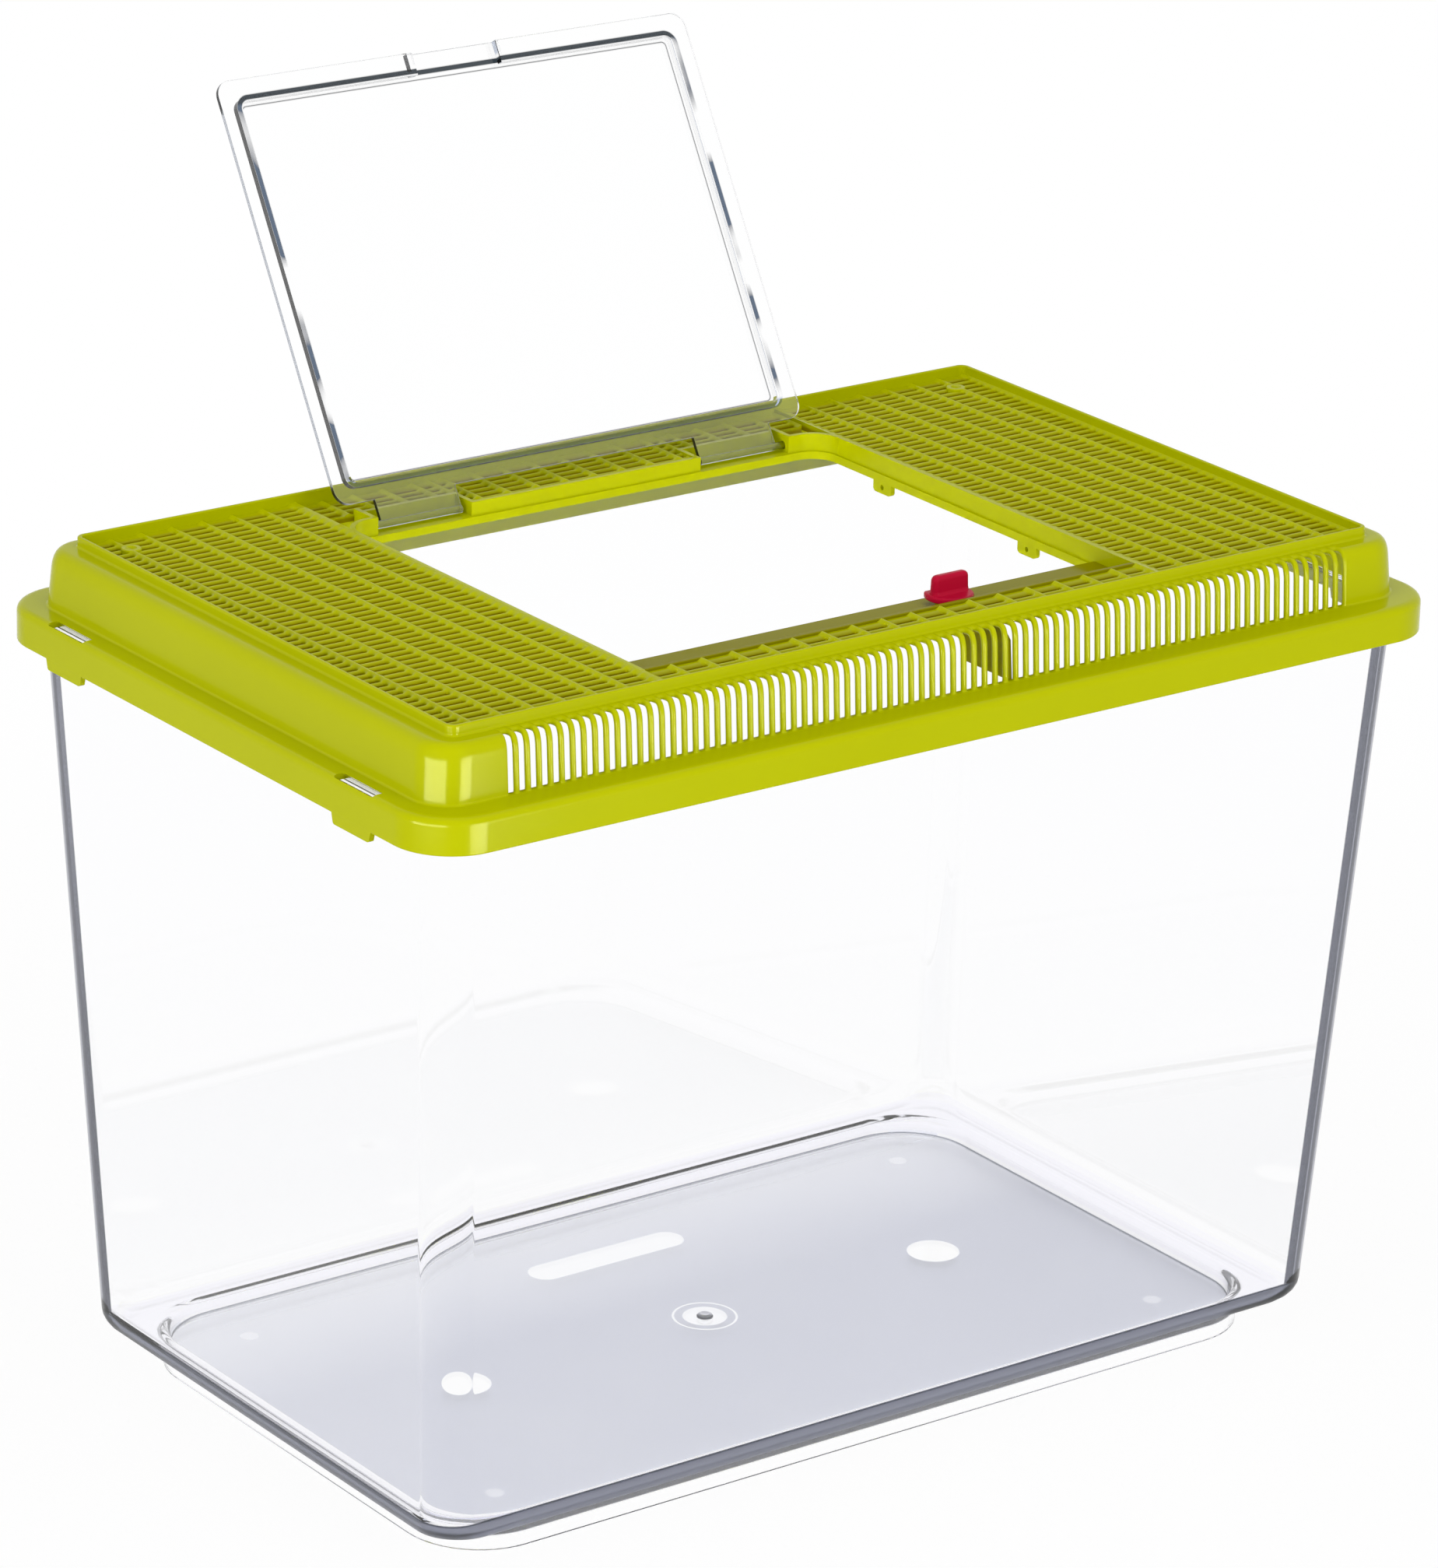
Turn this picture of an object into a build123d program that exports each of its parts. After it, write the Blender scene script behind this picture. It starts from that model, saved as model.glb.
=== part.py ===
"""Plastic pet keeper: a clear tapered tank, a ventilated snap-on lid, a clear hatch and a swivel latch.

Frame: X runs along the long side, +Y points to the hinge side at the back, +Z is up.
The origin is the centre of the footprint on the table. Lengths are millimetres.
The lid is one moulding; it is written as touching pieces: rim, louvre, grille panels and the
walls round the hatch opening.
"""
from build123d import *
import math
import os

# --- overall sizes ---------------------------------------------------------------------------
LENGTH = 413.0                # lid skirt, end to end
WIDTH = 260.0                 # lid skirt, front to back
LIP_TOP = 295.0               # upstanding lip round the grille
WALL = 2.0                    # usual moulded wall
OVERCUT = 1.0                 # cutters run this far past the faces they open

# --- tank ------------------------------------------------------------------------------------
TANK_TOP = 269.6              # rim that carries the lid
TANK_TOP_LENGTH = 395.0       # outside, at the rim
TANK_TOP_WIDTH = 242.0
TANK_TAPER = 0.0504           # each wall leans in by this much per millimetre of depth
TANK_CORNER = 13.0
MARGIN_UNDER = 11.0           # underside of the raised margin round the foot
MARGIN_OVER = 13.5
BASE_ROUND = 7.5              # wall to base, outside
INNER_ROUND = 8.0             # wall to base, inside
TANK_FLANGE = 4.2             # rim flange, outward from the wall
TANK_FLANGE_DEPTH = 2.0
FOOT_LENGTH = 345.0
FOOT_WIDTH = 198.0
FOOT_CORNER = 28.0
FOOT_WALL = 2.2
FLOOR_UNDER = 5.0             # the central floor hangs inside the foot ring
FLOOR_OVER = 7.5
GATE_RADIUS = 7.8             # moulding gate under the middle of the floor
GATE_DROP = 1.2

# --- lid rim ---------------------------------------------------------------------------------
SKIRT_BOTTOM = 259.5
LEDGE_TOP = 271.8
SKIRT_CORNER = 21.0
SKIRT_BEVEL = 1.2             # outer top edge of the skirt
DOME_LENGTH = 395.4           # outside, where the dome rises from the ledge
DOME_WIDTH = 238.0
DOME_CORNER = 13.0
DOME_SLOPE = 0.072            # the dome's walls lean in by this much per millimetre of height
DOME_TOP = 291.3
SHOULDER_ROUND = 6.3
LIP_LENGTH = 374.0
LIP_WIDTH = 221.0
LIP_CORNER = 3.0
LIP_WALL = 1.5
CLIP_LENGTH = 22.0            # four snap tabs, two on each short end
CLIP_OFFSET_Y = 85.2
CLIP_DROP = 3.5               # the tab reaches this far below the skirt
CLIP_SLANT = 1.0              # the tab narrows by this much at each end
CLIP_SLOT = 4.0               # width of the opening above each tab
CLIP_SLOT_EDGE = 0.7          # what is left of the skirt outside that opening
HOOK_DEPTH = 1.0
HOOK_HEIGHT = 2.6
HOOK_BOTTOM = 262.0

# --- front louvre ----------------------------------------------------------------------------
LOUVRE_SLOTS = 80
LOUVRE_PITCH = 4.28
LOUVRE_SLOT = 2.3
LOUVRE_RAIL = 2.2             # solid strip between the slots and the lip
LOUVRE_BEND = 0.293           # flats stand in for the shoulder's curve: 1 - cos 45 degrees

# --- grille ----------------------------------------------------------------------------------
RIB_TOP = 292.0
RIB_HEIGHT = 1.4              # ribs stand on the slats
RIB_WIDTH = 1.9
RIB_PITCH = 12.0
SLAT_HEIGHT = 1.6
SLAT_PITCH = 4.28
SLAT_WIDTH = 2.4
BORDER = 1.5                  # strip that ties ribs and slats together
REAR_STEP = 1.2               # the rear strip lies lower than the side panels
STUD_RADIUS = 3.5             # round pad in each outer rear corner
STUD_X = 173.0
STUD_Y = 97.0

# --- hatch opening ---------------------------------------------------------------------------
OPENING_HALF = 100.0          # half length of the opening
OPENING_FRONT = -90.5         # front wall of the well that holds the ledge
OPENING_REAR = 80.5
OPENING_CORNER = 10.0
OPENING_WALL = 1.8
STEP_Z = 285.8                # the walls step inward below this height; the bays' floor lies here
OPENING_BOTTOM = 283.0
STEP = 1.0
LATCH_LEDGE_TOP = 286.9
LATCH_LEDGE_EDGE = -71.3      # free edge of the front ledge
WEB_X = 28.5                  # web behind the louvre
WEB_BOTTOM = 271.8
WEB_TOP = 289.0
BAY_INNER = 48.0              # hinge bays, from the middle platform outward
BAY_OUTER = 86.0
BAY_REAR = 91.3
TAB_LENGTH = 10.0             # hanging tabs under the side walls
TAB_DROP = 4.5
TAB_CORNER = 1.5
TAB_FRONT_Y = -35.5
TAB_REAR_Y = 44.8
TAB_HOLE = 1.8

# --- hatch -----------------------------------------------------------------------------------
HINGE_Y = 84.0
HINGE_Z = 288.0
OPEN_ANGLE = 121.0            # from closed to the open stop, as photographed
HATCH_HALF = 97.4
HATCH_NEAR = 8.6              # flange edge nearest the hinge axis
HATCH_FAR = 158.8
HATCH_CORNER = 5.5
PLATE = 1.6
PANEL_HALF = 91.0             # raised panel inside the flange
PANEL_NEAR = 14.0
PANEL_FAR = 152.3
PANEL_CORNER = 4.0
PANEL_RISE = 2.6
TONGUE_HALF = 19.0            # finger lift at the free edge
HINGE_TAB_INNER = 50.0
HINGE_TAB_OUTER = 82.6
PIN_RADIUS = 1.4
PIN_CLEARANCE = 0.08
PIN_END = 87.6

# --- latch -----------------------------------------------------------------------------------
LATCH_X = 31.0
LATCH_Y = -80.5
CAM_RADIUS = 8.3
CAM_FLAT = 5.2                # distance from the pivot to the flat that clears the hatch
CAM_BOTTOM = 289.1
CAM_TOP = 291.2
WING_LENGTH = 14.4
WING_WIDTH = 3.6
WING_TOP = 297.7
WING_CORNER = 2.0
STEM_RADIUS = 3.0
STEM_CLEARANCE = 0.08
BOSS_RADIUS = 4.5
BOSS_TOP = 288.9
HEAD_RADIUS = 3.9
HEAD_HEIGHT = 1.5
HEAD_GAP = 0.2


# --- helpers ---------------------------------------------------------------------------------
def block(x_from, x_to, y_from, y_to, z_from, z_to):
    """Box between two corners."""
    centre = Pos((x_from + x_to) / 2, (y_from + y_to) / 2, (z_from + z_to) / 2)
    return centre * Box(x_to - x_from, y_to - y_from, z_to - z_from)


def slab(length, width, corner, z_from, z_to):
    """Centred upright prism with rounded corners."""
    return Pos(0, 0, z_from) * extrude(RectangleRounded(length, width, corner), z_to - z_from)


def tapered(length, width, corner, height, slope):
    """Centred solid on z = 0 with rounded corners, whose walls lean in by slope as it rises."""
    body = extrude(Rectangle(length, width), height, taper=math.degrees(math.atan(slope)))
    level = body.edges().group_by(Axis.Z)[0] + body.edges().group_by(Axis.Z)[-1]
    return fillet(body.edges() - level, corner)


def top_edges(solid):
    """Edges round the highest face."""
    return solid.faces().sort_by(Axis.Z)[-1].edges()


def mirrored(solid):
    """The same solid on the other end of the keeper."""
    return mirror(solid, about=Plane.YZ)


def spaced(count, pitch):
    """Evenly spaced places, centred on the middle."""
    return [(index - (count - 1) / 2) * pitch for index in range(count)]


# --- tank ------------------------------------------------------------------------------------
def tank_body(inset, z_base, base_round):
    """Body of the tank, inset from its outer face; it is drawn rim down and turned over."""
    body = tapered(TANK_TOP_LENGTH - 2 * inset, TANK_TOP_WIDTH - 2 * inset, TANK_CORNER - inset,
                   TANK_TOP - z_base, TANK_TAPER)
    return Pos(0, 0, TANK_TOP) * Rot(180, 0, 0) * fillet(top_edges(body), base_round)


def make_tank():
    """Clear tank: tapered walls, raised margin, foot ring, lowered floor and rim flange."""
    flange_length = TANK_TOP_LENGTH + 2 * TANK_FLANGE
    flange_width = TANK_TOP_WIDTH + 2 * TANK_FLANGE
    flange_corner = TANK_CORNER + TANK_FLANGE
    flange = slab(flange_length, flange_width, flange_corner, TANK_TOP - TANK_FLANGE_DEPTH, TANK_TOP)
    foot = slab(FOOT_LENGTH, FOOT_WIDTH, FOOT_CORNER, 0, MARGIN_OVER)
    foot_inside_length = FOOT_LENGTH - 2 * FOOT_WALL
    foot_inside_width = FOOT_WIDTH - 2 * FOOT_WALL
    foot_inside_corner = FOOT_CORNER - FOOT_WALL
    foot_inside = slab(foot_inside_length, foot_inside_width, foot_inside_corner, 0, MARGIN_OVER)
    floor = slab(foot_inside_length, foot_inside_width, foot_inside_corner, FLOOR_UNDER, FLOOR_OVER)
    gate = Pos(0, 0, FLOOR_UNDER - GATE_DROP) * Cylinder(
        GATE_RADIUS, GATE_DROP, align=(Align.CENTER, Align.CENTER, Align.MIN))
    inside = tank_body(WALL, MARGIN_OVER, INNER_ROUND)
    outside = tank_body(0, MARGIN_UNDER, BASE_ROUND)
    return (outside + flange + foot) - inside - foot_inside + floor + gate


# --- lid rim ---------------------------------------------------------------------------------
def dome(inset, z_from, z_to):
    """Dome of the lid before its shoulder is rounded, inset from its outer face."""
    spread = 2 * DOME_SLOPE * (LEDGE_TOP - z_from) - 2 * inset
    body = tapered(DOME_LENGTH + spread, DOME_WIDTH + spread, DOME_CORNER - inset,
                   z_to - z_from, DOME_SLOPE)
    return Pos(0, 0, z_from) * body


def louvre_window():
    """Space of the front louvre: the dome's front wall and its shoulder, up to the lip."""
    half = LOUVRE_SLOTS * LOUVRE_PITCH / 2
    return block(-half, half, -DOME_WIDTH / 2 - OVERCUT, -LIP_WIDTH / 2,
                 LEDGE_TOP, DOME_TOP + OVERCUT)


def clip(side_y):
    """Snap tab on the left end: it hangs below the skirt and carries a small hook inside."""
    outer = -LENGTH / 2
    inner = outer + WALL
    y_from = side_y - CLIP_LENGTH / 2
    y_to = side_y + CLIP_LENGTH / 2
    tab_outline = Polyline(
        (y_from, SKIRT_BOTTOM), (y_from + CLIP_SLANT, SKIRT_BOTTOM - CLIP_DROP),
        (y_to - CLIP_SLANT, SKIRT_BOTTOM - CLIP_DROP), (y_to, SKIRT_BOTTOM), close=True)
    tab = Pos(outer, 0, 0) * extrude(Plane.YZ * make_face(tab_outline), WALL)
    hook_outline = Polyline(
        (inner, HOOK_BOTTOM), (inner + HOOK_DEPTH, HOOK_BOTTOM + HOOK_HEIGHT),
        (inner, HOOK_BOTTOM + HOOK_HEIGHT), close=True)
    hook = Pos(0, y_to, 0) * extrude(Plane.XZ * make_face(hook_outline), CLIP_LENGTH)
    return tab + hook


def make_lid_rim():
    """Skirt, ledge, dome and lip of the lid, with the louvre window and the clip slots."""
    skirt = slab(LENGTH, WIDTH, SKIRT_CORNER, SKIRT_BOTTOM, LEDGE_TOP)
    skirt = chamfer(top_edges(skirt), SKIRT_BEVEL)
    skirt_hollow = slab(LENGTH - 2 * WALL, WIDTH - 2 * WALL, SKIRT_CORNER - WALL,
                        SKIRT_BOTTOM, TANK_TOP)
    lip = slab(LIP_LENGTH, LIP_WIDTH, LIP_CORNER, DOME_TOP - WALL, LIP_TOP)
    well = slab(LIP_LENGTH - 2 * LIP_WALL, LIP_WIDTH - 2 * LIP_WALL, LIP_CORNER - LIP_WALL,
                LEDGE_TOP, LIP_TOP)
    outside = dome(0, LEDGE_TOP, DOME_TOP)
    outside = fillet(top_edges(outside), SHOULDER_ROUND)
    hollow = dome(WALL, TANK_TOP, DOME_TOP - WALL)
    hollow = chamfer(top_edges(hollow), SHOULDER_ROUND - WALL)
    rim = skirt + outside + lip - skirt_hollow - hollow - well - louvre_window()
    slot_outer = -LENGTH / 2 + CLIP_SLOT_EDGE
    for side_y in (-CLIP_OFFSET_Y, CLIP_OFFSET_Y):
        slot = block(slot_outer, slot_outer + CLIP_SLOT, side_y - CLIP_LENGTH / 2,
                     side_y + CLIP_LENGTH / 2, TANK_TOP - OVERCUT, LEDGE_TOP + OVERCUT)
        rim = rim - slot - mirrored(slot) + clip(side_y) + mirrored(clip(side_y))
    return rim


def louvre_profile():
    """Section of the louvre: up the dome's front wall, over its shoulder and in to the lip."""
    foot = -DOME_WIDTH / 2
    top = foot + DOME_SLOPE * (DOME_TOP - LEDGE_TOP)
    drop = SHOULDER_ROUND * LOUVRE_BEND
    lip = -LIP_WIDTH / 2
    outline = Polyline(
        (foot, LEDGE_TOP), (top, DOME_TOP - SHOULDER_ROUND), (top + drop, DOME_TOP - drop),
        (top + SHOULDER_ROUND, DOME_TOP), (lip, DOME_TOP), (lip, DOME_TOP - WALL),
        (top + SHOULDER_ROUND, DOME_TOP - WALL), (top + WALL, DOME_TOP - SHOULDER_ROUND),
        (foot + WALL, LEDGE_TOP), close=True)
    return make_face(Plane.YZ * outline)


def louvre_back():
    """How far back the louvre's inner face lies at its foot, at its bend and at the web's top."""
    foot = -DOME_WIDTH / 2 + WALL
    top = foot + DOME_SLOPE * (DOME_TOP - LEDGE_TOP)
    shoulder = top - WALL + SHOULDER_ROUND
    return foot, top, shoulder


def make_front_louvre():
    """Comb of bars that follows the dome's front wall over its shoulder."""
    half = LOUVRE_SLOTS * LOUVRE_PITCH / 2
    bars = extrude(louvre_profile(), half, both=True)
    slot_back = -LIP_WIDTH / 2 - LOUVRE_RAIL
    slots = [block(middle - LOUVRE_SLOT / 2, middle + LOUVRE_SLOT / 2, -DOME_WIDTH / 2 - OVERCUT,
                   slot_back, LEDGE_TOP - OVERCUT, DOME_TOP + OVERCUT)
             for middle in spaced(LOUVRE_SLOTS, LOUVRE_PITCH)]
    return bars - slots


# --- grille ----------------------------------------------------------------------------------
def ladder(outline, bars, z_from, height):
    """Flat panel: the outline's border and the bars that cross it."""
    border = outline - offset(outline, -BORDER, kind=Kind.INTERSECTION)
    flat = border + [outline & bar for bar in bars]
    return Pos(0, 0, z_from) * extrude(flat, height)


def strip(x_from, x_to, y_from, y_to):
    """Flat rectangle between two corners."""
    return Pos((x_from + x_to) / 2, (y_from + y_to) / 2) * Rectangle(x_to - x_from, y_to - y_from)


def rib_bars():
    """Ribs run front to back, either side of the middle."""
    count = int(LIP_LENGTH / 2 / RIB_PITCH)
    places = [side * RIB_PITCH * (index + 0.5) for side in (-1, 1) for index in range(count)]
    return [strip(x - RIB_WIDTH / 2, x + RIB_WIDTH / 2, -WIDTH / 2, WIDTH / 2) for x in places]


def slat_bars():
    """Slats run end to end, thinner than the ribs and closer together."""
    count = int(LIP_WIDTH / 2 / SLAT_PITCH)
    places = [SLAT_PITCH * index for index in range(-count, count + 1)]
    return [strip(-LENGTH / 2, LENGTH / 2, y - SLAT_WIDTH / 2, y + SLAT_WIDTH / 2) for y in places]


def side_panel():
    """Outline of the left grille panel, from the lip to the opening's wall."""
    lip_inside = LIP_LENGTH / 2 - LIP_WALL
    depth_inside = LIP_WIDTH / 2 - LIP_WALL
    panel = strip(-lip_inside, -OPENING_HALF - OPENING_WALL, -depth_inside, depth_inside)
    return fillet(panel.vertices().sort_by(Axis.X)[:2], LIP_CORNER - LIP_WALL)


def front_panel():
    """Outline of the narrow strip between the lip and the front ledge."""
    half = OPENING_HALF + OPENING_WALL
    return strip(-half, half, -LIP_WIDTH / 2 + LIP_WALL, OPENING_FRONT - OPENING_WALL)


def rear_panel():
    """Outline of the rear strip: the middle platform, and narrow parts behind the hinge bays."""
    half = OPENING_HALF + OPENING_WALL
    whole = strip(-half, half, OPENING_REAR + OPENING_WALL, LIP_WIDTH / 2 - LIP_WALL)
    bay = strip(BAY_INNER - OPENING_WALL, BAY_OUTER + OPENING_WALL, OPENING_REAR,
                BAY_REAR + OPENING_WALL)
    return whole - bay - mirror(bay, about=Plane.YZ)


def ribs_of(outline, step):
    """Rib layer of one panel, lowered by step."""
    return ladder(outline, rib_bars(), RIB_TOP - RIB_HEIGHT - step, RIB_HEIGHT)


def slats_of(outline, step):
    """Slat layer of one panel, lowered by step."""
    return ladder(outline, slat_bars(), RIB_TOP - RIB_HEIGHT - SLAT_HEIGHT - step, SLAT_HEIGHT)


def make_side_ribs():
    """Ribs of the left panel, with the round pad in its rear corner."""
    pad = Pos(-STUD_X, STUD_Y, RIB_TOP - RIB_HEIGHT) * Cylinder(
        STUD_RADIUS, RIB_HEIGHT, align=(Align.CENTER, Align.CENTER, Align.MIN))
    return ribs_of(side_panel(), 0) + pad


# --- walls of the hatch opening --------------------------------------------------------------
def hanging_tab(middle_y):
    """Small tab with a hole, under the left side wall."""
    bottom = OPENING_BOTTOM - TAB_DROP
    tab = block(-OPENING_HALF - OPENING_WALL, -OPENING_HALF, middle_y - TAB_LENGTH / 2,
                middle_y + TAB_LENGTH / 2, bottom, OPENING_BOTTOM)
    tab = fillet(tab.edges().filter_by(Axis.X).sort_by(Axis.Z)[:2], TAB_CORNER)
    hole = Pos(-OPENING_HALF - OPENING_WALL / 2, middle_y, bottom + TAB_DROP / 2) * (
        Rot(0, 90, 0) * Cylinder(TAB_HOLE / 2, 2 * OPENING_WALL))
    return tab - hole


def make_side_wall():
    """Left wall of the opening: upright, stepped inward at its foot, with two hanging tabs."""
    rear = OPENING_REAR - OPENING_CORNER
    front = OPENING_FRONT - OPENING_WALL
    outer = -OPENING_HALF - OPENING_WALL
    upright = block(outer, -OPENING_HALF, front, rear, STEP_Z, RIB_TOP)
    foot = block(outer, -OPENING_HALF + STEP, front, rear, OPENING_BOTTOM, STEP_Z)
    return upright + foot + hanging_tab(TAB_FRONT_Y) + hanging_tab(TAB_REAR_Y)


def louvre_web():
    """Upright web that ties the front wall of the well to the back of the louvre."""
    foot, top, shoulder = louvre_back()
    outline = Polyline(
        (foot, WEB_BOTTOM), (top, DOME_TOP - SHOULDER_ROUND), (shoulder, WEB_TOP),
        (OPENING_FRONT - OPENING_WALL, WEB_TOP), (OPENING_FRONT - OPENING_WALL, WEB_BOTTOM),
        close=True)
    web = extrude(make_face(Plane.YZ * outline), OPENING_WALL / 2, both=True)
    return Pos(WEB_X, 0, 0) * web


def make_front_ledge():
    """Front wall, flat ledge with the latch boss, and the turned-down free edge."""
    half = OPENING_HALF - STEP
    profile = Polyline(
        (OPENING_FRONT - OPENING_WALL, RIB_TOP), (OPENING_FRONT, RIB_TOP),
        (OPENING_FRONT, LATCH_LEDGE_TOP), (LATCH_LEDGE_EDGE, LATCH_LEDGE_TOP),
        (LATCH_LEDGE_EDGE, OPENING_BOTTOM), (LATCH_LEDGE_EDGE - WALL, OPENING_BOTTOM),
        (LATCH_LEDGE_EDGE - WALL, LATCH_LEDGE_TOP - WALL),
        (OPENING_FRONT - OPENING_WALL, LATCH_LEDGE_TOP - WALL), close=True)
    ledge = extrude(make_face(Plane.YZ * profile), half, both=True)
    boss_height = BOSS_TOP - LATCH_LEDGE_TOP
    boss = Pos(LATCH_X, LATCH_Y, LATCH_LEDGE_TOP) * Cylinder(
        BOSS_RADIUS, boss_height, align=(Align.CENTER, Align.CENTER, Align.MIN))
    bore_length = 2 * (WALL + boss_height)
    bore = Pos(LATCH_X, LATCH_Y, LATCH_LEDGE_TOP) * Cylinder(STEM_RADIUS + STEM_CLEARANCE, bore_length)
    ends = block(half, OPENING_HALF, OPENING_FRONT - OPENING_WALL, LATCH_LEDGE_EDGE,
                 STEP_Z, LATCH_LEDGE_TOP)
    wall_end = block(half, OPENING_HALF, OPENING_FRONT - OPENING_WALL, OPENING_FRONT,
                     LATCH_LEDGE_TOP, RIB_TOP)
    shell = ledge + ends + mirrored(ends) + wall_end + mirrored(wall_end) + louvre_web()
    return shell + boss - bore


def opening_outline(grow, rear_extra):
    """Opening seen from above, grown outward, with its rear corners rounded."""
    half = OPENING_HALF + grow
    rear = OPENING_REAR + grow + rear_extra
    front = OPENING_FRONT
    flat = strip(-half, half, front, rear)
    rear_corners = flat.vertices().sort_by(Axis.Y)[-2:]
    return fillet(rear_corners, OPENING_CORNER + grow)


def bay_outline(grow):
    """Both hinge bays seen from above, grown outward."""
    bay = strip(BAY_INNER - grow, BAY_OUTER + grow, OPENING_REAR - OPENING_CORNER / 2, BAY_REAR + grow)
    return bay + mirror(bay, about=Plane.YZ)


def make_hinge_wall():
    """Rear wall of the opening: rounded corners, two hinge bays and the pin holes."""
    keep = strip(-LENGTH / 2, LENGTH / 2, OPENING_REAR - OPENING_CORNER, WIDTH / 2)
    outside = (opening_outline(OPENING_WALL, 0) + bay_outline(OPENING_WALL)) & keep
    inside = opening_outline(0, 0) + bay_outline(0)
    wall = Pos(0, 0, STEP_Z) * extrude(outside - inside, RIB_TOP - STEP_Z)
    lowered = block(-BAY_OUTER, BAY_OUTER, 0, WIDTH / 2, RIB_TOP - REAR_STEP, RIB_TOP + OVERCUT)
    ring = (opening_outline(OPENING_WALL, 0) & keep) - opening_outline(-STEP, 0)
    foot = Pos(0, 0, OPENING_BOTTOM) * extrude(ring, STEP_Z - OPENING_BOTTOM)
    bay_plan = (bay_outline(OPENING_WALL) & keep) - opening_outline(-STEP, 0)
    bay_floor = Pos(0, 0, STEP_Z - WALL) * extrude(bay_plan, WALL)
    pin_hole = Pos(0, HINGE_Y, HINGE_Z) * Rot(0, 90, 0) * Cylinder(
        PIN_RADIUS + PIN_CLEARANCE, 2 * (BAY_OUTER + 2 * OPENING_WALL))
    inner_walls = block(-BAY_INNER - OVERCUT, BAY_INNER + OVERCUT, OPENING_REAR, WIDTH / 2,
                        STEP_Z, RIB_TOP)
    return wall - lowered + foot + bay_floor - (pin_hole - inner_walls)


# --- hatch -----------------------------------------------------------------------------------
def hatch_plan(x_half, near, far, corner):
    """Flat outline on the closed hatch; distances run forward from the hinge axis."""
    return Pos(0, -(near + far) / 2) * RectangleRounded(2 * x_half, far - near, corner)


def make_hatch():
    """Clear hatch: flange, raised panel with a finger tongue, hinge tabs, rods and pins."""
    half_plate = PLATE / 2
    panel_top = half_plate + PANEL_RISE
    flange = hatch_plan(HATCH_HALF, HATCH_NEAR, HATCH_FAR, HATCH_CORNER)
    tongue = strip(-TONGUE_HALF, TONGUE_HALF, -HATCH_FAR, -PANEL_FAR + PANEL_CORNER)
    panel = hatch_plan(PANEL_HALF, PANEL_NEAR, PANEL_FAR, PANEL_CORNER) + tongue
    tongue_inside = strip(-TONGUE_HALF + PLATE, TONGUE_HALF - PLATE, -HATCH_FAR - OVERCUT,
                          -PANEL_FAR + PANEL_CORNER)
    panel_inside = hatch_plan(PANEL_HALF - PLATE, PANEL_NEAR + PLATE, PANEL_FAR - PLATE,
                              PANEL_CORNER - PLATE) + tongue_inside
    plate = Pos(0, 0, -half_plate) * extrude(flange, PLATE)
    raised = Pos(0, 0, -half_plate) * extrude(panel, panel_top + half_plate)
    cavity = Pos(0, 0, -half_plate) * extrude(panel_inside, PANEL_RISE)
    hinge_tab = block(HINGE_TAB_INNER, HINGE_TAB_OUTER, -HATCH_NEAR - PLATE, 0,
                      -half_plate, half_plate)
    rod_length = HINGE_TAB_OUTER - HINGE_TAB_INNER
    rod = Pos((HINGE_TAB_INNER + HINGE_TAB_OUTER) / 2, 0, 0) * Rot(0, 90, 0) * Cylinder(
        PIN_RADIUS, rod_length)
    pin = Pos((HINGE_TAB_OUTER + PIN_END) / 2, 0, 0) * Rot(0, 90, 0) * Cylinder(
        PIN_RADIUS, PIN_END - HINGE_TAB_OUTER)
    hinge = hinge_tab + rod + pin
    closed = plate + raised - cavity + hinge + mirrored(hinge)
    return Pos(0, HINGE_Y, HINGE_Z) * Rot(-OPEN_ANGLE, 0, 0) * closed


# --- latch -----------------------------------------------------------------------------------
def make_latch():
    """Swivel latch: cam plate with a flat, upright wing, stem and snap head."""
    up = (Align.CENTER, Align.CENTER, Align.MIN)
    cam = Cylinder(CAM_RADIUS, CAM_TOP - CAM_BOTTOM, align=up)
    cam = cam - block(-CAM_RADIUS, CAM_RADIUS, CAM_FLAT, CAM_RADIUS + OVERCUT,
                      -OVERCUT, CAM_TOP - CAM_BOTTOM + OVERCUT)
    wing = block(-WING_LENGTH / 2, WING_LENGTH / 2, -WING_WIDTH / 2, WING_WIDTH / 2,
                 CAM_TOP - CAM_BOTTOM, WING_TOP - CAM_BOTTOM)
    top_corners = wing.edges().filter_by(Axis.Y).sort_by(Axis.Z)[-2:]
    wing = fillet(top_corners, WING_CORNER)
    head_top = LATCH_LEDGE_TOP - WALL - HEAD_GAP - CAM_BOTTOM
    stem = Pos(0, 0, head_top - HEAD_HEIGHT) * Cylinder(STEM_RADIUS, HEAD_HEIGHT - head_top, align=up)
    head = Pos(0, 0, head_top - HEAD_HEIGHT) * Cone(STEM_RADIUS, HEAD_RADIUS, HEAD_HEIGHT, align=up)
    return Pos(LATCH_X, LATCH_Y, CAM_BOTTOM) * (cam + wing + stem + head)


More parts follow.
